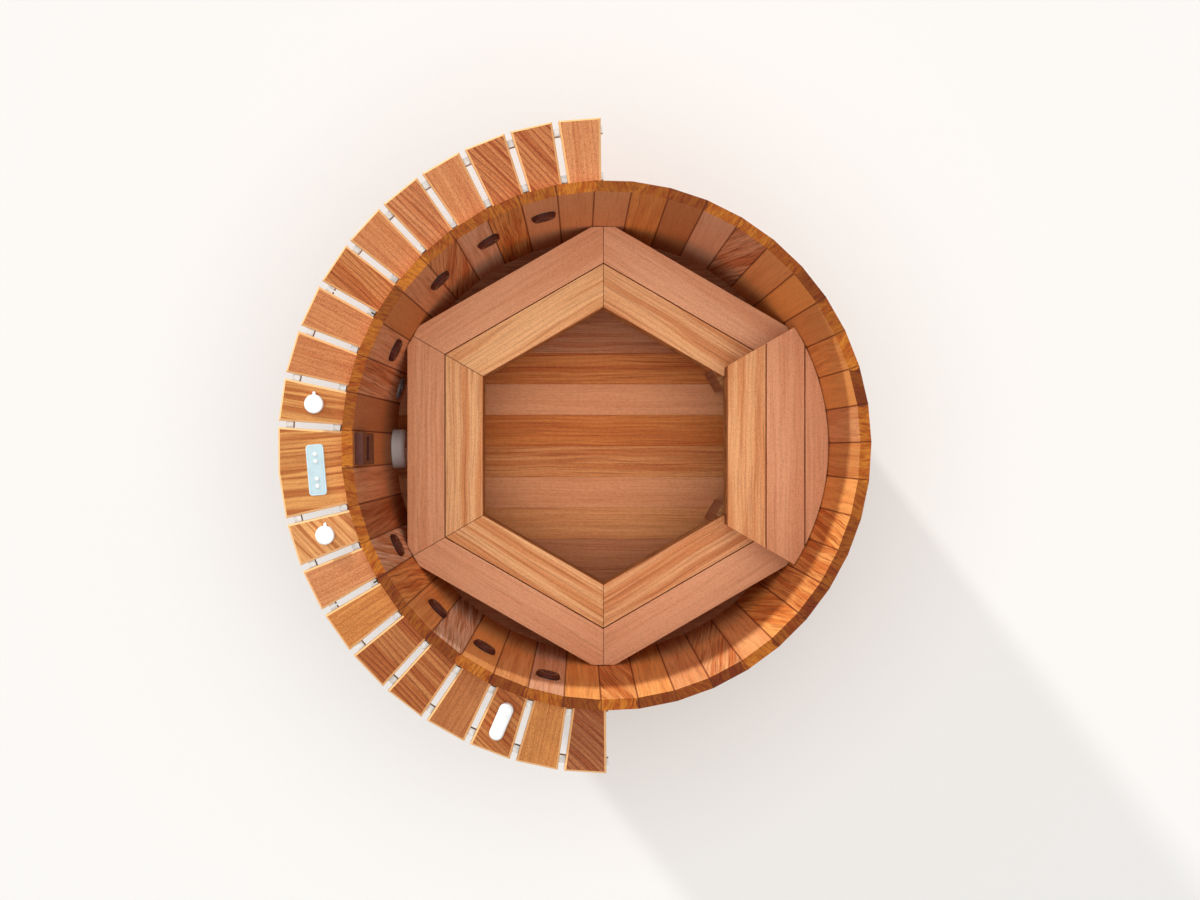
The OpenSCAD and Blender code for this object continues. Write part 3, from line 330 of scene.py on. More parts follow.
        # Painted shade: each stave darkens towards its seams,
        # standing in for the shade in the grooves between staves
        away = add_node(tree, "Math", {"operation": "ABSOLUTE"}, {0: read["side"]})
        seam_shade = add_node(tree, "MapRange", SMOOTH_STEP,
                        {"Value": away.outputs[0], "From Min": 0.92, "From Max": 1.0})
        seam_shaded = add_node(tree, "Mix", {"data_type": "RGBA", "blend_type": "MULTIPLY"},
                          {0: seam_shade.outputs[0], 6: figured, 7: linear(self.seam_shade)})
        # Bevels get a painted highlight, a pale colour where light would catch them
        colour = add_node(tree, "Mix", {"data_type": "RGBA"},
                          {0: read["edge"], 6: seam_shaded.outputs[2], 7: linear(self.edge)})
        rough = add_node(tree, "MapRange", {},
                         {"Value": patterns["fibres"], "To Min": self.roughness - 0.08,
                          "To Max": self.roughness + 0.14})
        height = add_node(tree, "Math", {"operation": "ADD"},
                          {0: patterns["lines"], 1: patterns["fibres"]})
        bump = add_node(tree, "Bump", {},
                        {"Height": height.outputs[0], "Strength": 0.35, "Distance": 0.0006})
        finish_surface(tree, {"Base Color": colour.outputs[2], "Roughness": rough.outputs[0],
                              "Normal": bump.outputs["Normal"], "IOR": 1.45,
                              "Specular IOR Level": 0.2})
        return material


@dataclass(frozen=True)
class Metal:
    """Rolled or drawn metal with the faint clouding of its mill skin.

    Attributes:
        name: Name of the material.
        colour: Its bright colour.
        dull: Colour of the dull clouds.
        roughness: Middle roughness.
        cloud_mm: Size of the clouds.
    """

    name: str
    colour: str
    dull: str
    roughness: float
    cloud_mm: float = 18.0

    def material(self) -> Material:
        """Builds the material.

        Returns:
            The material.
        """
        material = blank_material(self.name)
        tree = material.node_tree
        place = add_node(tree, "TexCoord").outputs["Object"]
        cloud = add_node(tree, "TexNoise", {},
                         {"Vector": place, "Scale": 1000 / self.cloud_mm, "Detail": 4.0})
        # Grain of 1.1 mm, coarser than the real skin's so that it shows
        fine = add_node(tree, "TexNoise", {},
                        {"Vector": place, "Scale": 900.0, "Detail": 2.0})
        colour = add_node(tree, "ValToRGB",
                          {"stops": [(0.35, self.dull), (0.65, self.colour)]},
                          {"Fac": cloud.outputs["Fac"]})
        rough = add_node(tree, "MapRange", {},
                         {"Value": cloud.outputs["Fac"], "To Min": self.roughness + 0.12,
                          "To Max": self.roughness - 0.06})
        bump = add_node(tree, "Bump", {},
                        {"Height": fine.outputs["Fac"], "Strength": 0.2, "Distance": 0.0003})
        finish_surface(tree, {"Base Color": colour.outputs["Color"], "Metallic": 1.0,
                              "Roughness": rough.outputs[0], "Normal": bump.outputs["Normal"]})
        return material


@dataclass(frozen=True)
class Plastic:
    """Moulded plastic or rubber: a fine spark-eroded grain and a slight unevenness of gloss.

    Attributes:
        name: Name of the material.
        colour: Its colour.
        shade: Colour of its darker clouds.
        roughness: Middle roughness.
        grain_mm: Size of the grain, drawn coarser than a real one where it has to show.
        depth: Strength of the grain's relief.
        sheen: Strength of the reflections from straight ahead.
    """

    name: str
    colour: str
    shade: str
    roughness: float
    grain_mm: float = 1.2
    depth: float = 0.15
    sheen: float = 0.5

    def material(self) -> Material:
        """Builds the material.

        Returns:
            The material.
        """
        material = blank_material(self.name)
        tree = material.node_tree
        place = add_node(tree, "TexCoord").outputs["Object"]
        # Clouds of 36 mm, for the slight unevenness of a moulding
        cloud = add_node(tree, "TexNoise", {},
                         {"Vector": place, "Scale": 28.0, "Detail": 3.0})
        grain = add_node(tree, "TexNoise", {},
                         {"Vector": place, "Scale": 1000 / self.grain_mm, "Detail": 2.0})
        colour = add_node(tree, "ValToRGB",
                          {"stops": [(0.38, self.shade), (0.62, self.colour)]},
                          {"Fac": cloud.outputs["Fac"]})
        rough = add_node(tree, "MapRange", {},
                         {"Value": cloud.outputs["Fac"], "To Min": self.roughness + 0.07,
                          "To Max": self.roughness - 0.05})
        bump = add_node(tree, "Bump", {},
                        {"Height": grain.outputs["Fac"], "Strength": self.depth,
                         "Distance": 0.0002})
        finish_surface(tree, {"Base Color": colour.outputs["Color"], "IOR": 1.5,
                              "Specular IOR Level": self.sheen,
                              "Roughness": rough.outputs[0], "Normal": bump.outputs["Normal"]})
        return material


class Finish(Enum):
    """The finishes of the tub. Each is built once and shared by the pieces that have it."""

    # Coopered staves, planed and oiled: every stave has a tone of its own. The bright orange tone
    # at 0.75 is partly painted light, for the staves that the key lamp lights
    STAVE = Cedar("planed cedar, staves", ("#f8d0b0", "#f0b48c", "#e8a878", "#ffb262", "#bf7c52"),
                  end="#84400a", end_light="#cc7a24")
    # Planed floor boards: broad tones from pinkish tan to a deep golden brown
    FLOOR = Cedar("planed cedar, floor", ("#dc976c", "#d8935a", "#cd7a3a", "#c0805a"))
    # Pinkish heartwood with a fine, even grain, up to golden boards with streaks
    BENCH = Cedar("planed cedar, bench", ("#f6bc93", "#f0b286", "#f2b680", "#fcc68c"),
                  line_mm=8.0, lines=0.5, band_mm=34.0, mottle_mm=5.0, mottle=0.32)
    # Rough-sawn framing that stays dark and damp
    FRAME = Cedar("sawn cedar, framing", ("#b98a6a", "#a87858"), roughness=0.7)
    # Aprons from the outside of the log, blotched with dark sapwood
    APRON = Cedar("sawn cedar, aprons", ("#d09c64", "#c08850"), mottle_mm=42.0, mottle=0.6,
                  blotch="#6e4424", roughness=0.7)
    # Planed shelf slats: warm tan with fine fibres, rings and a painted highlight on the bevels
    SLAT = Cedar("planed cedar, slats", ("#e29a66", "#d38650", "#dd944e", "#b06c42"),
                 edge="#f2b87c", line_mm=5.0, lines=0.5, mottle_mm=4.5, mottle=0.5, rings=0.75,
                 blotch="#a87454", fibre=0.5)
    # Planed boards round the panel and the knobs: golden with wide soft bands, and a painted
    # highlight on the bevels
    GOLDEN = Cedar("golden cedar, shelf", ("#f2b476", "#e6a25c", "#eaac68"), band="#b87838",
                   edge="#f4c088", line_mm=12.0, lines=0.35, band_mm=22.0, mottle_mm=4.5,
                   mottle=0.3)
    # Hot-dip galvanised strip and lugs: grey with a soft spangle
    HOOP = Metal("galvanised steel", "#c4c7c9", "#a6aaad", roughness=0.38)
    # Bright zinc plating on rods, nuts, bolts and rivets: paler and shinier than the strip
    BOLT = Metal("zinc-plated steel", "#cdd0d2", "#b4b8bb", roughness=0.3, cloud_mm=9.0)
    # Mill-finish aluminium rails and brackets, slightly chalky
    RAIL = Metal("mill aluminium", "#cfccc6", "#b9b6b0", roughness=0.45, cloud_mm=24.0)
    # Injection-moulded ABS of the jets and the skimmer: dark brown with a satin sheen
    BROWN = Plastic("brown ABS", "#602c1e", "#55261a", roughness=0.46, sheen=0.25)
    # Injection-moulded ABS of the knobs and the suction cover: white with a soft gloss
    WHITE = Plastic("white ABS", "#f4f4f2", "#eeeeec", roughness=0.3, grain_mm=0.9, depth=0.08)
    # Injection-moulded ABS round the panel: pale blue, as softly glossy as the knobs
    HOUSING = Plastic("pale blue ABS", "#cde6f0", "#c4deea", roughness=0.34, grain_mm=0.9,
                      depth=0.08)
    # Moulded PVC of the fittings: an even grey, duller than the ABS
    GREY = Plastic("grey PVC", "#8d9092", "#818486", roughness=0.42)
    # Pale blue polyester film over the panel, flat and slightly glossy
    FILM = Plastic("polyester film", "#c2dade", "#bad2d8", roughness=0.24, grain_mm=0.6,
                   depth=0.05)
    # Moulded PVC of the valves, pipes and tees: black and satin
    BLACK = Plastic("black PVC", "#2a2c2e", "#232527", roughness=0.45)
    # Moulded EPDM rubber of the seals: black and matt
    RUBBER = Plastic("EPDM rubber", "#222223", "#1b1b1c", roughness=0.75, grain_mm=2.0, depth=0.3)

    def material(self) -> Material:
        """Gives the finish's material, built on first use."""
        found = bpy.data.materials.get(self.value.name)
        return found or self.value.material()


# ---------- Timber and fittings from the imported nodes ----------


class Run(Enum):
    """Direction of the fibres, or of the longest side, in a piece."""

    UP = "up"
    OUT = "out"
    ROUND = "round"
    EAST = "east"
    NORTH = "north"

    def vector(self, centre: Vector) -> Vector:
        """Gives the direction in one solid.

        Args:
            centre: The solid's centre.

        Returns:
            The direction, of length 1.
        """
        out = Vector((centre.x, centre.y, 0.0)).normalized()
        return {Run.UP: UP, Run.OUT: out, Run.ROUND: Vector((-out.y, out.x, 0)),
                Run.EAST: EAST, Run.NORTH: NORTH}[self].copy()


@dataclass(frozen=True)
class Look:
    """How one board looks: its tone and figure from 0 to 1, and a grain that isn't the usual."""

    tone: float
    figure: float
    slant: Vector | None = None


def random_look(centre: Vector, rng: random.Random) -> Look:
    """Gives a board that has no fixed look a seeded one."""
    return Look(tone=rng.random(), figure=rng.uniform(0.15, 0.6))


def loose_parts(mesh: Mesh) -> np.ndarray:
    """Numbers the loose parts of a mesh.

    Args:
        mesh: The mesh.

    Returns:
        The number of its part for each vertex, counted from 0.
    """
    edges = np.empty(len(mesh.edges) * 2, np.int32)
    mesh.edges.foreach_get("vertices", edges)
    edges = edges.reshape(-1, 2)
    label = np.arange(len(mesh.vertices))
    while True:
        low = np.minimum(label[edges[:, 0]], label[edges[:, 1]])
        before = label.copy()
        np.minimum.at(label, edges[:, 0], low)
        np.minimum.at(label, edges[:, 1], low)
        label = label[label]
        if (label == before).all():
            return np.unique(label, return_inverse=True)[1]


def only_select(piece: Object) -> None:
    """Makes this object the only selected one, and the active one.

    Args:
        piece: The object.
    """
    bpy.ops.object.select_all(action="DESELECT")
    piece.select_set(True)
    bpy.context.view_layer.objects.active = piece


@contextmanager
def editing(piece: Object) -> Iterator[None]:
    """Keeps a piece in Edit Mode, with its whole mesh selected at the start.

    Args:
        piece: The piece.
    """
    only_select(piece)
    bpy.ops.object.mode_set(mode="EDIT")
    bpy.ops.mesh.select_all(action="SELECT")
    yield
    bpy.ops.object.mode_set(mode="OBJECT")


def apply_modifier(piece: Object, kind: str, **settings: object) -> None:
    """Adds a modifier and applies it.

    Args:
        piece: The piece that takes it.
        kind: Blender's type name of the modifier.
        settings: Properties of the modifier.
    """
    only_select(piece)
    modifier = piece.modifiers.new(kind.title(), kind)
    for key, value in settings.items():
        setattr(modifier, key, value)
    bpy.ops.object.modifier_apply(modifier=modifier.name)


@dataclass
class Dressed:
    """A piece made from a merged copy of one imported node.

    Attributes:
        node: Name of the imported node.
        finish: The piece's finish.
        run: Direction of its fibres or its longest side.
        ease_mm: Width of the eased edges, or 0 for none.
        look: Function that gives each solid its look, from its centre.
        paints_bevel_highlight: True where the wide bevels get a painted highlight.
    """

    node: str
    finish: Finish
    run: Run = Run.UP
    ease_mm: float = 0.0
    look: Callable[[Vector, random.Random], Look] = random_look
    paints_bevel_highlight: bool = False

    def build(self) -> Object:
        """Makes the piece, rides it on the node's body and stands it for the node.

        Returns:
            The piece.
        """
        source = frame["nodes"][self.node]
        piece = bpy.data.objects.new(f"{self.node}_piece", source.data.copy())
        bpy.context.scene.collection.objects.link(piece)
        only_select(piece)
        bpy.ops.mesh.customdata_custom_splitnormals_clear()
        with editing(piece):
            bpy.ops.mesh.remove_doubles(threshold=MERGE)
            bpy.ops.mesh.dissolve_limited(angle_limit=math.radians(FLAT_DEG))
        if self.ease_mm:
            apply_modifier(piece, "BEVEL", width=self.ease_mm * MM, segments=2,
                           limit_method="ANGLE", angle_limit=math.radians(EASE_DEG),
                           use_clamp_overlap=True, miter_outer="MITER_ARC")
        bpy.ops.object.shade_smooth_by_angle(angle=math.radians(SMOOTH_DEG))
        apply_modifier(piece, "WEIGHTED_NORMAL", keep_sharp=True, weight=60)
        self.mark(piece)
        piece.data.materials.clear()
        piece.data.materials.append(self.finish.material())
        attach(piece, source["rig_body"])
        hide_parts(self.node)
        return piece

    def board_axes(self, centre: Vector, look: Look, rng: random.Random) -> np.ndarray:
        """Gives the axes of one board's grain, with its growth rings turned by chance.

        Args:
            centre: The board's centre.
            look: The board's look.
            rng: Source of the turn.

        Returns:
            The axes as columns: along the fibres, and twice across them.
        """
        along = self.run.vector(centre) if look.slant is None else look.slant.normalized()
        up = UP if abs(along.z) < 0.5 else Run.OUT.vector(centre)
        turned = Matrix.Rotation(rng.uniform(-RING_TURN_RAD, RING_TURN_RAD), 3, along)
        return np.array([along, turned @ up.cross(along), turned @ up]).T

    def mark(self, piece: Object) -> None:
        """Writes the attributes that the finish reads.

        Args:
            piece: The piece that takes them.
        """
        mesh = piece.data
        rng = random.Random(self.node)
        points = read_vectors(mesh.vertices, "co")
        normals = read_vectors(mesh.polygons, "normal")
        part = loose_parts(mesh)
        face_part = part[[face.vertices[0] for face in mesh.polygons]]
        grain = np.zeros_like(points)
        tone, figure, side, wet = (np.zeros(len(points), np.float32) for _ in range(4))
        end, edge = (np.zeros(len(normals), np.float32) for _ in range(2))
        for number in range(part.max() + 1):
            mine, faces = part == number, face_part == number
            low, high = points[mine].min(0), points[mine].max(0)
            centre = Vector((low + high) / 2)
            look = self.look(centre, rng)
            axes = self.board_axes(centre, look, rng)
            shift = np.array([rng.uniform(-GRAIN_SHIFT, GRAIN_SHIFT) for _ in range(3)])
            grain[mine] = (points[mine] - np.array(centre)) @ axes + shift
            tone[mine], figure[mine], wet[mine] = look.tone, look.figure, rng.random()
            if self.finish is Finish.STAVE:
                turn = np.degrees(np.arctan2(points[mine][:, 1], points[mine][:, 0]))
                middle = SKIMMER_ANGLE + stave_number(centre) * STAVE_PITCH
                side[mine] = ((turn - middle + 180) % 360 - 180) / (STAVE_PITCH / 2)
            run = np.array(self.run.vector(centre))
            end[faces] = np.abs(normals[faces] @ run) > END_COSINE
            # Faces that turn part way up are bevels, which get the painted highlight
            if self.paints_bevel_highlight:
                upward = normals[faces][:, 2]
                edge[faces] = (upward > BEVEL_COSINES[0]) & (upward < BEVEL_COSINES[1])
        # A bead is hidden in its neighbour's cove, and gets no painted shade
        side *= np.abs(side) < SEAM_REACH
        mesh.attributes.new("grain", "FLOAT_VECTOR", "POINT").data.foreach_set(
            "vector", grain.ravel())
        for name, domain, values in (("tone", "POINT", tone), ("figure", "POINT", figure),
                                     ("side", "POINT", side), ("wet", "POINT", wet),
                                     ("end", "FACE", end), ("edge", "FACE", edge)):
            mesh.attributes.new(name, "FLOAT", domain).data.foreach_set("value", values)


def read_vectors(items: bpy_prop_collection, name: str) -> np.ndarray:
    """Reads a vector of every vertex or face of a mesh.

    Args:
        items: The mesh's vertices or faces.
        name: Name of the vector.

    Returns:
        The vectors as rows.
    """
    values = np.empty(len(items) * 3, np.float32)
    items.foreach_get(name, values)
    return values.reshape(-1, 3)


def stave_number(centre: Vector) -> int:
    """Counts the staves from the skimmer's to the one that has this centre."""
    return round((direction(centre) - SKIMMER_ANGLE) / STAVE_PITCH)


def direction(centre: Vector) -> float:
    """Gives the direction of a place from the tub's axis, from 0 to 360 degrees."""
    return math.degrees(math.atan2(centre.y, centre.x)) % 360


# ---------- Small parts modelled from scratch ----------


def round_bar(radius_mm: float, length_mm: float, corners: int = 32) -> Object:
    """Adds a round bar that stands on the origin, to be modelled further.

    Args:
        radius_mm: Its radius.
        length_mm: Its length.
        corners: Corners of its outline.

    Returns:
        The bar.
    """
    bpy.ops.object.select_all(action="DESELECT")
    bpy.ops.mesh.primitive_cylinder_add(vertices=corners, radius=radius_mm * MM,
                                        depth=length_mm * MM, location=(0, 0, length_mm * MM / 2))
    bpy.ops.object.transform_apply(location=True, rotation=True, scale=True)
    return bpy.context.object


def join(pieces: list[Object]) -> Object:
    """Joins objects into the first of them.

    Args:
        pieces: The objects.

    Returns:
        The first, with the meshes of all.
    """
    only_select(pieces[0])
    for piece in pieces:
        piece.select_set(True)
    if len(pieces) > 1:
        bpy.ops.object.join()
    return pieces[0]


@dataclass(frozen=True)
class Head:
    """A round head that stands on the origin, domed or hollowed by insets of its top.

    Attributes:
        radius_mm: Its radius.
        side_mm: Height of its upright side.
        insets_mm: Width and rise of each inset. A rise below 0 goes down.
        corners: Corners of its outline.
    """

    radius_mm: float
    side_mm: float
    insets_mm: tuple[tuple[float, float], ...]
    corners: int = 32

    def model(self) -> Object:
        """Models the head.

        Returns:
            The head.
        """
        head = round_bar(self.radius_mm, self.side_mm, self.corners)
        with editing(head):
            bpy.ops.mesh.select_mode(type="FACE")
            bpy.ops.mesh.select_all(action="DESELECT")
        max(head.data.polygons, key=lambda face: face.center.z).select = True
        bpy.ops.object.mode_set(mode="EDIT")
        for width, rise in self.insets_mm:
            bpy.ops.mesh.inset(thickness=width * MM, depth=rise * MM)
        bpy.ops.object.mode_set(mode="OBJECT")
        return head


@dataclass(frozen=True)
class Thread:
    """The ridge of a coarse thread up the Z axis, with three corners and one of them outward.

    Attributes:
        middle_mm: Distance of the ridge's middle from the axis.
        ridge_mm: Distance of its corners from its middle.
        pitch_mm: Rise in one turn.
        turns: Number of turns.
        steps: Steps in one turn.
    """

    middle_mm: float = 5.9
    ridge_mm: float = 0.9
    pitch_mm: float = 1.75
    turns: int = 11
    steps: int = 16

    def model(self) -> Object:
        """Models the ridge and closes its ends.

        Returns:
            The ridge.
        """
        bpy.ops.object.select_all(action="DESELECT")
        bpy.ops.mesh.primitive_circle_add(vertices=3, radius=self.ridge_mm * MM)
        ridge = bpy.context.object
        ridge.data.transform(Matrix.Translation((self.middle_mm * MM, 0, 0))
                             @ Matrix.Rotation(math.pi / 2, 4, "X")
                             @ Matrix.Rotation(-math.pi / 2, 4, "Z"))
        apply_modifier(ridge, "SCREW", screw_offset=self.pitch_mm * MM, iterations=self.turns,
                       steps=self.steps, render_steps=self.steps)
        with editing(ridge):
            bpy.ops.mesh.fill_holes(sides=3)
        return ridge


@dataclass(frozen=True)
class Tee:
    """A moulded tee with a run along X and a branch up the Z axis.

    Attributes:
        run_mm: Radius and length of the run.
        branch_mm: Radius and height of the branch, from the run's middle.
        rim_mm: How far the rims at the ends stand out, and their length.
        ease_mm: Width of the eased edges.
    """

    run_mm: tuple[float, float]
    branch_mm: tuple[float, float]
    rim_mm: tuple[float, float] = (1.8, 7.0)
    ease_mm: float = 1.0

    def sleeve(self, radius_mm: float, length_mm: float) -> Object:
        """Models a pipe sleeve up the Z axis, with a moulded rim at both ends.

        Args:
            radius_mm: Its radius.
            length_mm: Its length.

        Returns:
            The sleeve.
        """
        stand_out, rim_length = self.rim_mm
        parts = [round_bar(radius_mm, length_mm)]
        for foot_mm in (0.0, length_mm - rim_length):
            rim = round_bar(radius_mm + stand_out, rim_length)
            rim.data.transform(Matrix.Translation((0, 0, foot_mm * MM)))
            parts.append(rim)
        whole = join(parts)
        apply_modifier(whole, "BEVEL", width=self.ease_mm * MM, segments=2, limit_method="ANGLE")
        return whole

    def model(self) -> Object:
        """Models the run and the branch.

        Returns:
            The tee.
        """
        run = self.sleeve(*self.run_mm)
        run.data.transform(Matrix.Rotation(math.pi / 2, 4, "Y")
                           @ Matrix.Translation((0, 0, -self.run_mm[1] / 2 * MM)))
        return join([run, self.sleeve(*self.branch_mm)])


def standing(spot: Vector, up: Vector) -> Matrix:
    """Gives the placement on this spot with Z along the direction up."""
    return Matrix.Translation(spot) @ up.to_track_quat("Z", "Y").to_matrix().to_4x4()


@dataclass
class Modelled:
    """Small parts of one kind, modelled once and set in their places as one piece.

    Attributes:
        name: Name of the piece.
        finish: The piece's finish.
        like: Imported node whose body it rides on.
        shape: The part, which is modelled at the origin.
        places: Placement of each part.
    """

    name: str
    finish: Finish
    like: str
    shape: Head | Thread | Tee
    places: list[Matrix]

    def build(self) -> Object:
        """Models the part, sets a copy in each place and joins them.

        Returns:
            The piece.
        """
        first = self.shape.model()
        copies = []
        for place in self.places:
            copy = bpy.data.objects.new(self.name, first.data.copy())
            bpy.context.scene.collection.objects.link(copy)
            copy.data.transform(place)
            copies.append(copy)
        bpy.data.objects.remove(first)
        piece = join(copies)
        with editing(piece):
            bpy.ops.mesh.normals_make_consistent(inside=False)
        bpy.ops.object.shade_smooth_by_angle(angle=math.radians(PART_SMOOTH_DEG))
        piece.data.materials.clear()
        piece.data.materials.append(self.finish.material())
        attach(piece, frame["nodes"][self.like]["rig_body"])
        return piece


# ---------- Sub-assemblies ----------


@dataclass
class SubAssembly:
    """Pieces that belong together. Each kind of sub-assembly lists its own."""

    pieces: list[Object] = field(default_factory=list)

    def dressed(self) -> list[Dressed]:
        """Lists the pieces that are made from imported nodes."""
        return []

    def modelled(self) -> list[Modelled]:
        """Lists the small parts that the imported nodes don't have."""
        return []

    def build(self) -> None:
        """Builds every piece and reports it."""
        for item in self.dressed():
            self.pieces.append(item.build())
        for item in self.modelled():
            self.pieces.append(item.build())
        for piece in self.pieces:
            log.info("%s: %s, %d faces", type(self).__name__, piece.name, len(piece.data.polygons))


@dataclass
class Wall(SubAssembly):
    """Coopered staves in their hoops."""

    stave_ease_mm: float = 1.2
    # Staves on the lit side, from south round to north-east, and their brighter orange tones,
    # which are partly painted light, and the figures that a stave can have
    lit_side_staves: range = range(10, 27)
    lit_side_tones: tuple[float, float] = (0.55, 0.85)
    figures: tuple[float, ...] = (0.1, 0.4, 0.95)
    # How far the fibres of the most figured staves lean, as a slope, and the first stave's seed
    most_lean: float = 0.16
    first_seed: int = 900
    # Where the threads start from a rod's middle, and the rivets along it and to both sides
    thread_from: float = 0.0820
    rivets_along: tuple[float, ...] = (0.039, 0.063)
    rivets_up: tuple[float, ...] = (-0.016, 0.016)
    rivet: Head = Head(2.6, 0.5, ((0.5, 0.5), (0.6, 0.35), (0.7, 0.15)), 20)

    def stave_look(self, centre: Vector, rng: random.Random) -> Look:
        """Gives each stave a tone and figure of its own, with slanted fibres in the wildest.

        Args:
            centre: The stave's centre.
            rng: The node's random source, which the staves don't use.

        Returns:
            The look.
        """
        number = stave_number(centre) % STAVE_COUNT
        own = random.Random(self.first_seed + number)
        # On the lit side the tone is a brighter orange, partly painted light
        tone = own.uniform(*self.lit_side_tones) if number in self.lit_side_staves else own.random()
        figure = own.choice(self.figures)
        wild = figure == max(self.figures)
        lean = own.uniform(-self.most_lean, self.most_lean) if wild else 0.0
        return Look(tone, figure, UP + lean * Run.ROUND.vector(centre))

    def dressed(self) -> list[Dressed]:
        """Lists the staves, the hoops and what draws them tight."""
        staves = [Dressed(n, Finish.STAVE, Run.UP, self.stave_ease_mm, self.stave_look)
                  for n in ("staves", "jet_staves", "skimmer_stave", "drain_stave")]
        return staves + [
            Dressed("hoops", Finish.HOOP, Run.UP, 0.5),
            Dressed("hoop_lugs", Finish.HOOP, Run.ROUND, 1.0),
            Dressed("hoop_rods", Finish.BOLT, Run.ROUND, 1.0),
            Dressed("hoop_nuts", Finish.BOLT, Run.ROUND, 0.6),
        ]

    def rods(self) -> list[Matrix]:
        """Finds the rods.

        Returns:
            A placement in the middle of each rod, with X outward and Z along it.
        """
        mesh = bpy.data.objects["hoop_rods_piece"].data
        part = loose_parts(mesh)
        points = read_vectors(mesh.vertices, "co")
        found = []
        for number in range(part.max() + 1):
            mine = points[part == number]
            middle = Vector((mine.min(0) + mine.max(0)) / 2)
            out, along = Run.OUT.vector(middle), Run.ROUND.vector(middle)
            turn = Matrix((out, along.cross(out), along)).transposed().to_4x4()
            found.append(Matrix.Translation(middle) @ turn)
        return found

    def modelled(self) -> list[Modelled]:
        """Lists the threads past the nuts and the rivets that hold the lugs."""
        threads, rivets = [], []
        for rod in self.rods():
            for end in (0.0, math.pi):
                turned = rod @ Matrix.Rotation(end, 4, "X")
                threads.append(turned @ Matrix.Translation((0, 0, self.thread_from)))
                for along, up in ((a, u) for a in self.rivets_along for u in self.rivets_up):
                    rivets.append(turned @ standing(Vector((0, up, along)), EAST))
        return [Modelled("rod_threads", Finish.BOLT, "hoop_rods", Thread(), threads),
                Modelled("lug_rivets", Finish.BOLT, "hoop_lugs", self.rivet, rivets)]


@dataclass
class Floor(SubAssembly):
    """Floor boards in the croze and the joists under them."""

    # Tone and figure of the boards that show, from north to south, and the row of the first,
    # counted north from the axis
    rows: tuple[tuple[float, float], ...] = (
        (1.0, 0.6), (0.7, 0.7), (0.05, 0.1), (0.66, 0.5), (0.4, 0.6), (0.1, 0.15),
        (0.3, 0.3), (0.95, 0.3))
    first_row: int = 3

    def board_look(self, centre: Vector, rng: random.Random) -> Look:
        """Gives each floor board the look of its row."""
        row = self.first_row - math.floor(centre.y / FLOOR_BOARD_W)
        return Look(*self.rows[min(max(row, 0), len(self.rows) - 1)])

    def dressed(self) -> list[Dressed]:
        """Lists the boards and joists."""
        return [
            Dressed("floor_boards", Finish.FLOOR, Run.EAST, 1.2, self.board_look),
            Dressed("floor_joists", Finish.FRAME, Run.NORTH, 2.0),
        ]


@dataclass
class Bench(SubAssembly):
    """Bench on five sides, the raised seat on the sixth, and the frame under them."""

    # The centre of the raised seat's innermost board lies less far east than this
    seat_split: float = 0.6

    def red_look(self, centre: Vector, rng: random.Random) -> Look:
        """Gives the outer boards a fine, even grain."""
        return Look(tone=rng.uniform(0.0, 0.35), figure=rng.uniform(0.12, 0.3))

    def gold_look(self, centre: Vector, rng: random.Random) -> Look:
        """Gives the inner boards streaks."""
        return Look(tone=rng.uniform(0.7, 1.0), figure=rng.uniform(0.5, 0.75))

    def seat_look(self, centre: Vector, rng: random.Random) -> Look:
        """Gives the innermost board of the raised seat streaks, and the others an even grain."""
        if centre.x < self.seat_split:
            return Look(tone=0.75, figure=0.6)
        return Look(tone=rng.uniform(0.2, 0.4), figure=0.2)

    def dressed(self) -> list[Dressed]:
        """Lists the boards and the frame."""
        frames = [("bench_bearers", Run.OUT), ("bench_battens", Run.OUT), ("bench_legs", Run.UP),
                  ("seat_risers", Run.OUT), ("seat_joists", Run.EAST)]
        return [
            Dressed("bench_outer_boards", Finish.BENCH, Run.ROUND, 1.2, self.red_look),
            Dressed("bench_inner_boards", Finish.BENCH, Run.ROUND, 1.2, self.gold_look),
            Dressed("seat_boards", Finish.BENCH, Run.NORTH, 2.0, self.seat_look),
            Dressed("bench_aprons", Finish.APRON, Run.ROUND, 1.5),
            Dressed("seat_apron", Finish.APRON, Run.NORTH, 1.5),
        ] + [Dressed(node, Finish.FRAME, run, 1.5) for node, run in frames]


@dataclass
class Shelf(SubAssembly):
    """Slatted half-round shelf with its rails and brackets."""

    # Places along the shelf, counted from 1: those with slanted fibres, the golden ones and the
    # first dark one, with what a dark one adds to its tone
    slanted_units: tuple[int, ...] = (2, 3, 5, 7, 13, 16, 17, 19, 21)
    golden_units: tuple[int, ...] = (10, 11, 12)
    first_dark_unit: int = 15
    dark_tone: float = 0.62

    def slat_look(self, centre: Vector, rng: random.Random) -> Look:
        """Gives each slat its look by its place along the shelf.

        Args:
            centre: The slat's centre.
            rng: Source of its tone.

        Returns:
            The look.
        """
        unit = math.floor((direction(centre) - SHELF_START) / SHELF_UNIT) + 1
        if unit in self.golden_units:
            return Look(tone=rng.uniform(0.2, 0.8), figure=0.8)
        tone = rng.uniform(0.0, 0.35) + self.dark_tone * (unit >= self.first_dark_unit)
        if unit in self.slanted_units:
            return Look(tone + 0.1, figure=0.8, slant=EAST - NORTH)
        return Look(tone, figure=0.3)

    def dressed(self) -> list[Dressed]:
        """Lists the slats, the rails and what carries them."""
        # The slats' bevels get a painted highlight
        slats = [Dressed(n, f, Run.OUT, 1.0, self.slat_look, True)
                 for n, f in (("shelf_slats", Finish.SLAT), ("valve_slats", Finish.GOLDEN),
                              ("lever_slat", Finish.SLAT), ("control_block", Finish.GOLDEN))]
        rails = [Dressed(f"shelf_frame_{k}", Finish.RAIL, Run.ROUND, 1.0) for k in "abc"]
        return slats + rails + [
            Dressed("shelf_brackets", Finish.RAIL, Run.OUT, 1.0),
            Dressed("bracket_bolts", Finish.BOLT, Run.OUT, 0.8),
        ]


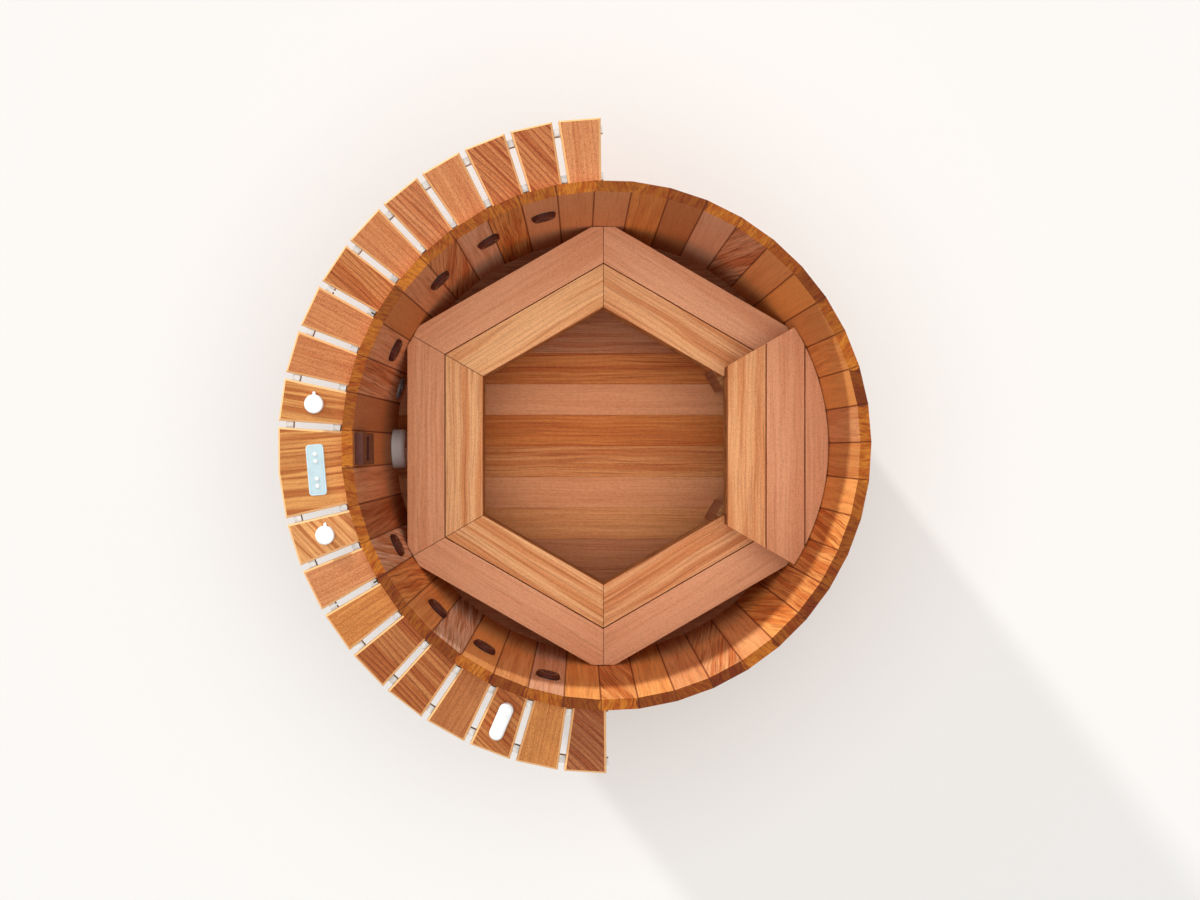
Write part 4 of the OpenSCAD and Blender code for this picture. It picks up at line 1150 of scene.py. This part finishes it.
@dataclass
class Controls(SubAssembly):
    """Air knobs, lever and button panel with the valves under the shelf."""

    button_count: int = 4

    def dressed(self) -> list[Dressed]:
        """Lists the controls."""
        buttons = [Dressed(f"panel_button_{i + 1}", Finish.WHITE)
                   for i in range(self.button_count)]
        return buttons + [
            Dressed("panel_housing", Finish.HOUSING, Run.ROUND, 0.8),
            Dressed("panel_overlay", Finish.FILM, Run.ROUND, 0.2),
            Dressed("air_knob_a", Finish.WHITE, Run.UP, 0.6),
            Dressed("air_knob_b", Finish.WHITE, Run.UP, 0.6),
            Dressed("diverter_lever", Finish.WHITE, Run.UP, 0.8),
            Dressed("air_valves", Finish.BLACK, Run.UP, 1.0),
            Dressed("diverter_valve", Finish.BLACK, Run.UP, 0.0),
        ]


@dataclass
class Jets(SubAssembly):
    """Eight jets with turning faces, their seals and nuts."""

    count: int = 8
    # The domed nozzle with its bore, how deep its foot stands in the hub, and its rise over the
    # jet's axis
    nozzle: Head = Head(6.9, 8.0, ((0.5, 0.9), (0.8, 0.4), (1.1, 0.1), (0.3, -0.6), (0.1, -6.0)))
    nozzle_seat: float = 0.0072
    nozzle_rise: float = 0.008
    # Distance from the tub's axis and height of the pipe rings, and the tees on them
    water_ring: tuple[float, float] = (0.9665, 0.640)
    air_ring: tuple[float, float] = (0.9485, 1.030)
    water_tee: Tee = Tee((27.5, 86.0), (17.5, 52.0))
    air_tee: Tee = Tee((16.0, 50.0), (10.0, 34.0))

    def dressed(self) -> list[Dressed]:
        """Lists the jets' parts."""
        faces = [f"jet_face_{number}" for number in range(1, self.count + 1)]
        return [Dressed(face, Finish.BROWN, Run.OUT, 0.8) for face in faces] + [
            Dressed("jet_fittings", Finish.BROWN, Run.OUT, 0.0),
            Dressed("jet_gaskets", Finish.RUBBER, Run.OUT, 0.0),
            Dressed("jet_nuts", Finish.BROWN, Run.OUT, 1.0),
        ]

    def modelled(self) -> list[Modelled]:
        """Lists the nozzles in the turning faces and the tees under and over the jets."""
        nozzles, water, air = [], [], []
        for number in range(1, self.count + 1):
            joint = next(j for j in frame["joints"] if j["name"] == f"jet_turn_{number}")
            spot, inward = Vector(joint["pos_m"]), Vector(joint["axis"]).normalized()
            if inward.dot(spot) > 0:
                inward.negate()
            face = f"jet_face_{number}"
            hub = max((v.co - spot).dot(inward) for v in frame["nodes"][face].data.vertices)
            seat = spot + inward * (hub - self.nozzle_seat) + UP * self.nozzle_rise
            nozzles.append(Modelled(f"jet_nozzle_{number}", Finish.BROWN, face, self.nozzle,
                                    [standing(seat, inward)]))
            out, along = Run.OUT.vector(spot), Run.ROUND.vector(spot)
            upright = Matrix((along, UP.cross(along), UP)).transposed().to_4x4()
            hanging = upright @ Matrix.Rotation(math.pi, 4, "X")
            for places, (away, height), turn in ((water, self.water_ring, upright),
                                                 (air, self.air_ring, hanging)):
                places.append(Matrix.Translation(out * away + UP * height) @ turn)
        return nozzles + [
            Modelled("water_tees", Finish.BLACK, "water_pipes", self.water_tee, water),
            Modelled("air_tees", Finish.BLACK, "air_pipes", self.air_tee, air),
        ]


@dataclass
class WaterWays(SubAssembly):
    """Skimmer, suction, drain and the pipes behind the wall."""

    # Pan head with a round socket, and how deep it stands in the suction cover's face
    screw: Head = Head(5.0, 1.6, ((0.7, 0.8), (1.2, 0.4), (0.5, 0.0), (0.1, -1.4)), 24)
    screw_seat: float = 0.001

    def dressed(self) -> list[Dressed]:
        """Lists the fittings and pipes."""
        return [
            Dressed("skimmer_housing", Finish.BROWN, Run.UP, 1.5),
            Dressed("skimmer_flap", Finish.BROWN, Run.UP, 0.4),
            Dressed("suction_cover", Finish.WHITE, Run.OUT, 0.0),
            Dressed("suction_fitting", Finish.GREY, Run.OUT, 0.0),
            Dressed("drain_fitting", Finish.GREY, Run.OUT, 0.0),
            Dressed("water_pipes", Finish.BLACK, Run.UP, 0.0),
            Dressed("air_pipes", Finish.BLACK, Run.UP, 0.0),
            Dressed("pipe_unions", Finish.GREY, Run.UP, 0.0),
        ]

    def modelled(self) -> list[Modelled]:
        """Lists the screw in the middle of the suction cover."""
        low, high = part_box("suction_cover")
        middle = (Vector(low) + Vector(high)) / 2
        spot = Vector((high[0] - self.screw_seat, middle.y, middle.z))
        angle = math.radians(SKIMMER_ANGLE)
        return [Modelled("cover_screw", Finish.BOLT, "suction_cover", self.screw,
                         [standing(spot, -Vector((math.cos(angle), math.sin(angle), 0)))])]


@dataclass
class Studio:
    """Plain pale floor, soft light and the photograph's camera."""

    floor_hex: str = "#efedea"
    floor_size: float = 60.0
    # Strength of the light from all sides, and of the pale wall that the eye, metal and gloss
    # see instead, at its foot and at the top. It turns from one to the other between two slopes
    world_strength: float = 0.3
    wall_strength: float = 0.9
    sky_strength: float = 0.6
    wall_slopes: tuple[float, float] = (0.05, 0.6)
    # Name, strength, softness, direction it comes from and height over the horizon of each lamp
    lamps: tuple[tuple[str, float, float, float, float], ...] = (
        ("overhead", 2.15, 80.0, 127.5, 89.0), ("key", 2.8, 4.0, 127.5, 9.0))
    # The photograph's camera: its place, and its focal length, image and aim in pixels
    eye: tuple[float, float, float] = (-0.093, -0.0086, 5.676)
    focal_px: float = 1301.0
    image_px: tuple[int, int] = (1200, 900)
    aim_px: tuple[float, float] = (20.0, -2.0)
    sensor_mm: float = 36.0

    def floor(self) -> None:
        """Lays the floor."""
        bpy.ops.object.select_all(action="DESELECT")
        bpy.ops.mesh.primitive_plane_add(size=self.floor_size, location=(0, 0, 0))
        plane = bpy.context.object
        plane.name = "studio_floor"
        material = blank_material("studio floor, matt paper")
        finish_surface(material.node_tree, {"Base Color": linear(self.floor_hex),
                                            "Roughness": 0.9, "Specular IOR Level": 0.1})
        plane.data.materials.append(material)

    def world(self) -> None:
        """Sets up the light from all sides and the pale wall that shows behind the tub."""
        world = bpy.data.worlds.new("studio")
        bpy.context.scene.world = world
        world.use_nodes = True
        tree = world.node_tree
        place = add_node(tree, "TexCoord").outputs["Generated"]
        slope = add_node(tree, "SeparateXYZ", {}, {"Vector": place}).outputs["Z"]
        low, high = self.wall_slopes
        wall = add_node(tree, "MapRange", SMOOTH_STEP,
                        {"Value": slope, "From Min": low, "From Max": high,
                         "To Min": self.wall_strength, "To Max": self.sky_strength})
        # The pale wall is what the eye, metal and gloss see. Light on dull surfaces leaves it out
        ray = add_node(tree, "LightPath").outputs
        direct = add_node(tree, "Math", {"operation": "MAXIMUM"},
                          {0: ray["Is Camera Ray"], 1: ray["Is Glossy Ray"]})
        seen = add_node(tree, "Math", {"operation": "MAXIMUM"},
                        {0: direct.outputs[0], 1: ray["Is Transmission Ray"]})
        strength = add_node(tree, "Mix", {},
                            {0: seen.outputs[0], 2: self.world_strength, 3: wall.outputs[0]})
        background = tree.nodes["Background"]
        background.inputs["Color"].default_value = (1, 1, 1, 1)
        tree.links.new(strength.outputs[0], background.inputs["Strength"])

    def light(self) -> None:
        """Lights the tub from above, with a low key that reaches the far side of the wall."""
        for name, strength, softness, source, height in self.lamps:
            sun = bpy.data.lights.new(name, "SUN")
            sun.energy = strength
            sun.angle = math.radians(softness)
            lamp = bpy.data.objects.new(name, sun)
            bpy.context.scene.collection.objects.link(lamp)
            turn, rise = math.radians(source), math.radians(height)
            to_lamp = Vector((math.cos(turn) * math.cos(rise), math.sin(turn) * math.cos(rise),
                              math.sin(rise)))
            lamp.rotation_euler = to_lamp.to_track_quat("Z", "Y").to_euler()

    def camera(self) -> None:
        """Sets the camera over the tub, almost straight above its axis."""
        data = bpy.data.cameras.new("camera")
        camera = bpy.data.objects.new("camera", data)
        bpy.context.scene.collection.objects.link(camera)
        data.sensor_width = self.sensor_mm
        data.lens = self.focal_px / self.image_px[0] * data.sensor_width
        look = Vector((self.aim_px[0], self.aim_px[1], -self.focal_px)).normalized()
        right = look.cross(NORTH).normalized()
        up = right.cross(look)
        turn = Matrix((right, up, -look)).transposed().to_4x4()
        camera.matrix_world = Matrix.Translation(self.eye) @ turn
        bpy.context.scene.camera = camera

    def build(self) -> None:
        """Sets the whole studio up."""
        self.floor()
        self.world()
        self.light()
        self.camera()
        bpy.context.scene.view_settings.view_transform = "Standard"


def main() -> None:
    """Builds the tub's sub-assemblies and the studio."""
    logging.basicConfig(level=logging.INFO, format="%(message)s", stream=sys.stdout)
    for assembly in (Wall(), Floor(), Bench(), Shelf(), Controls(), Jets(), WaterWays()):
        assembly.build()
    Studio().build()


if __name__ == "__main__":
    main()
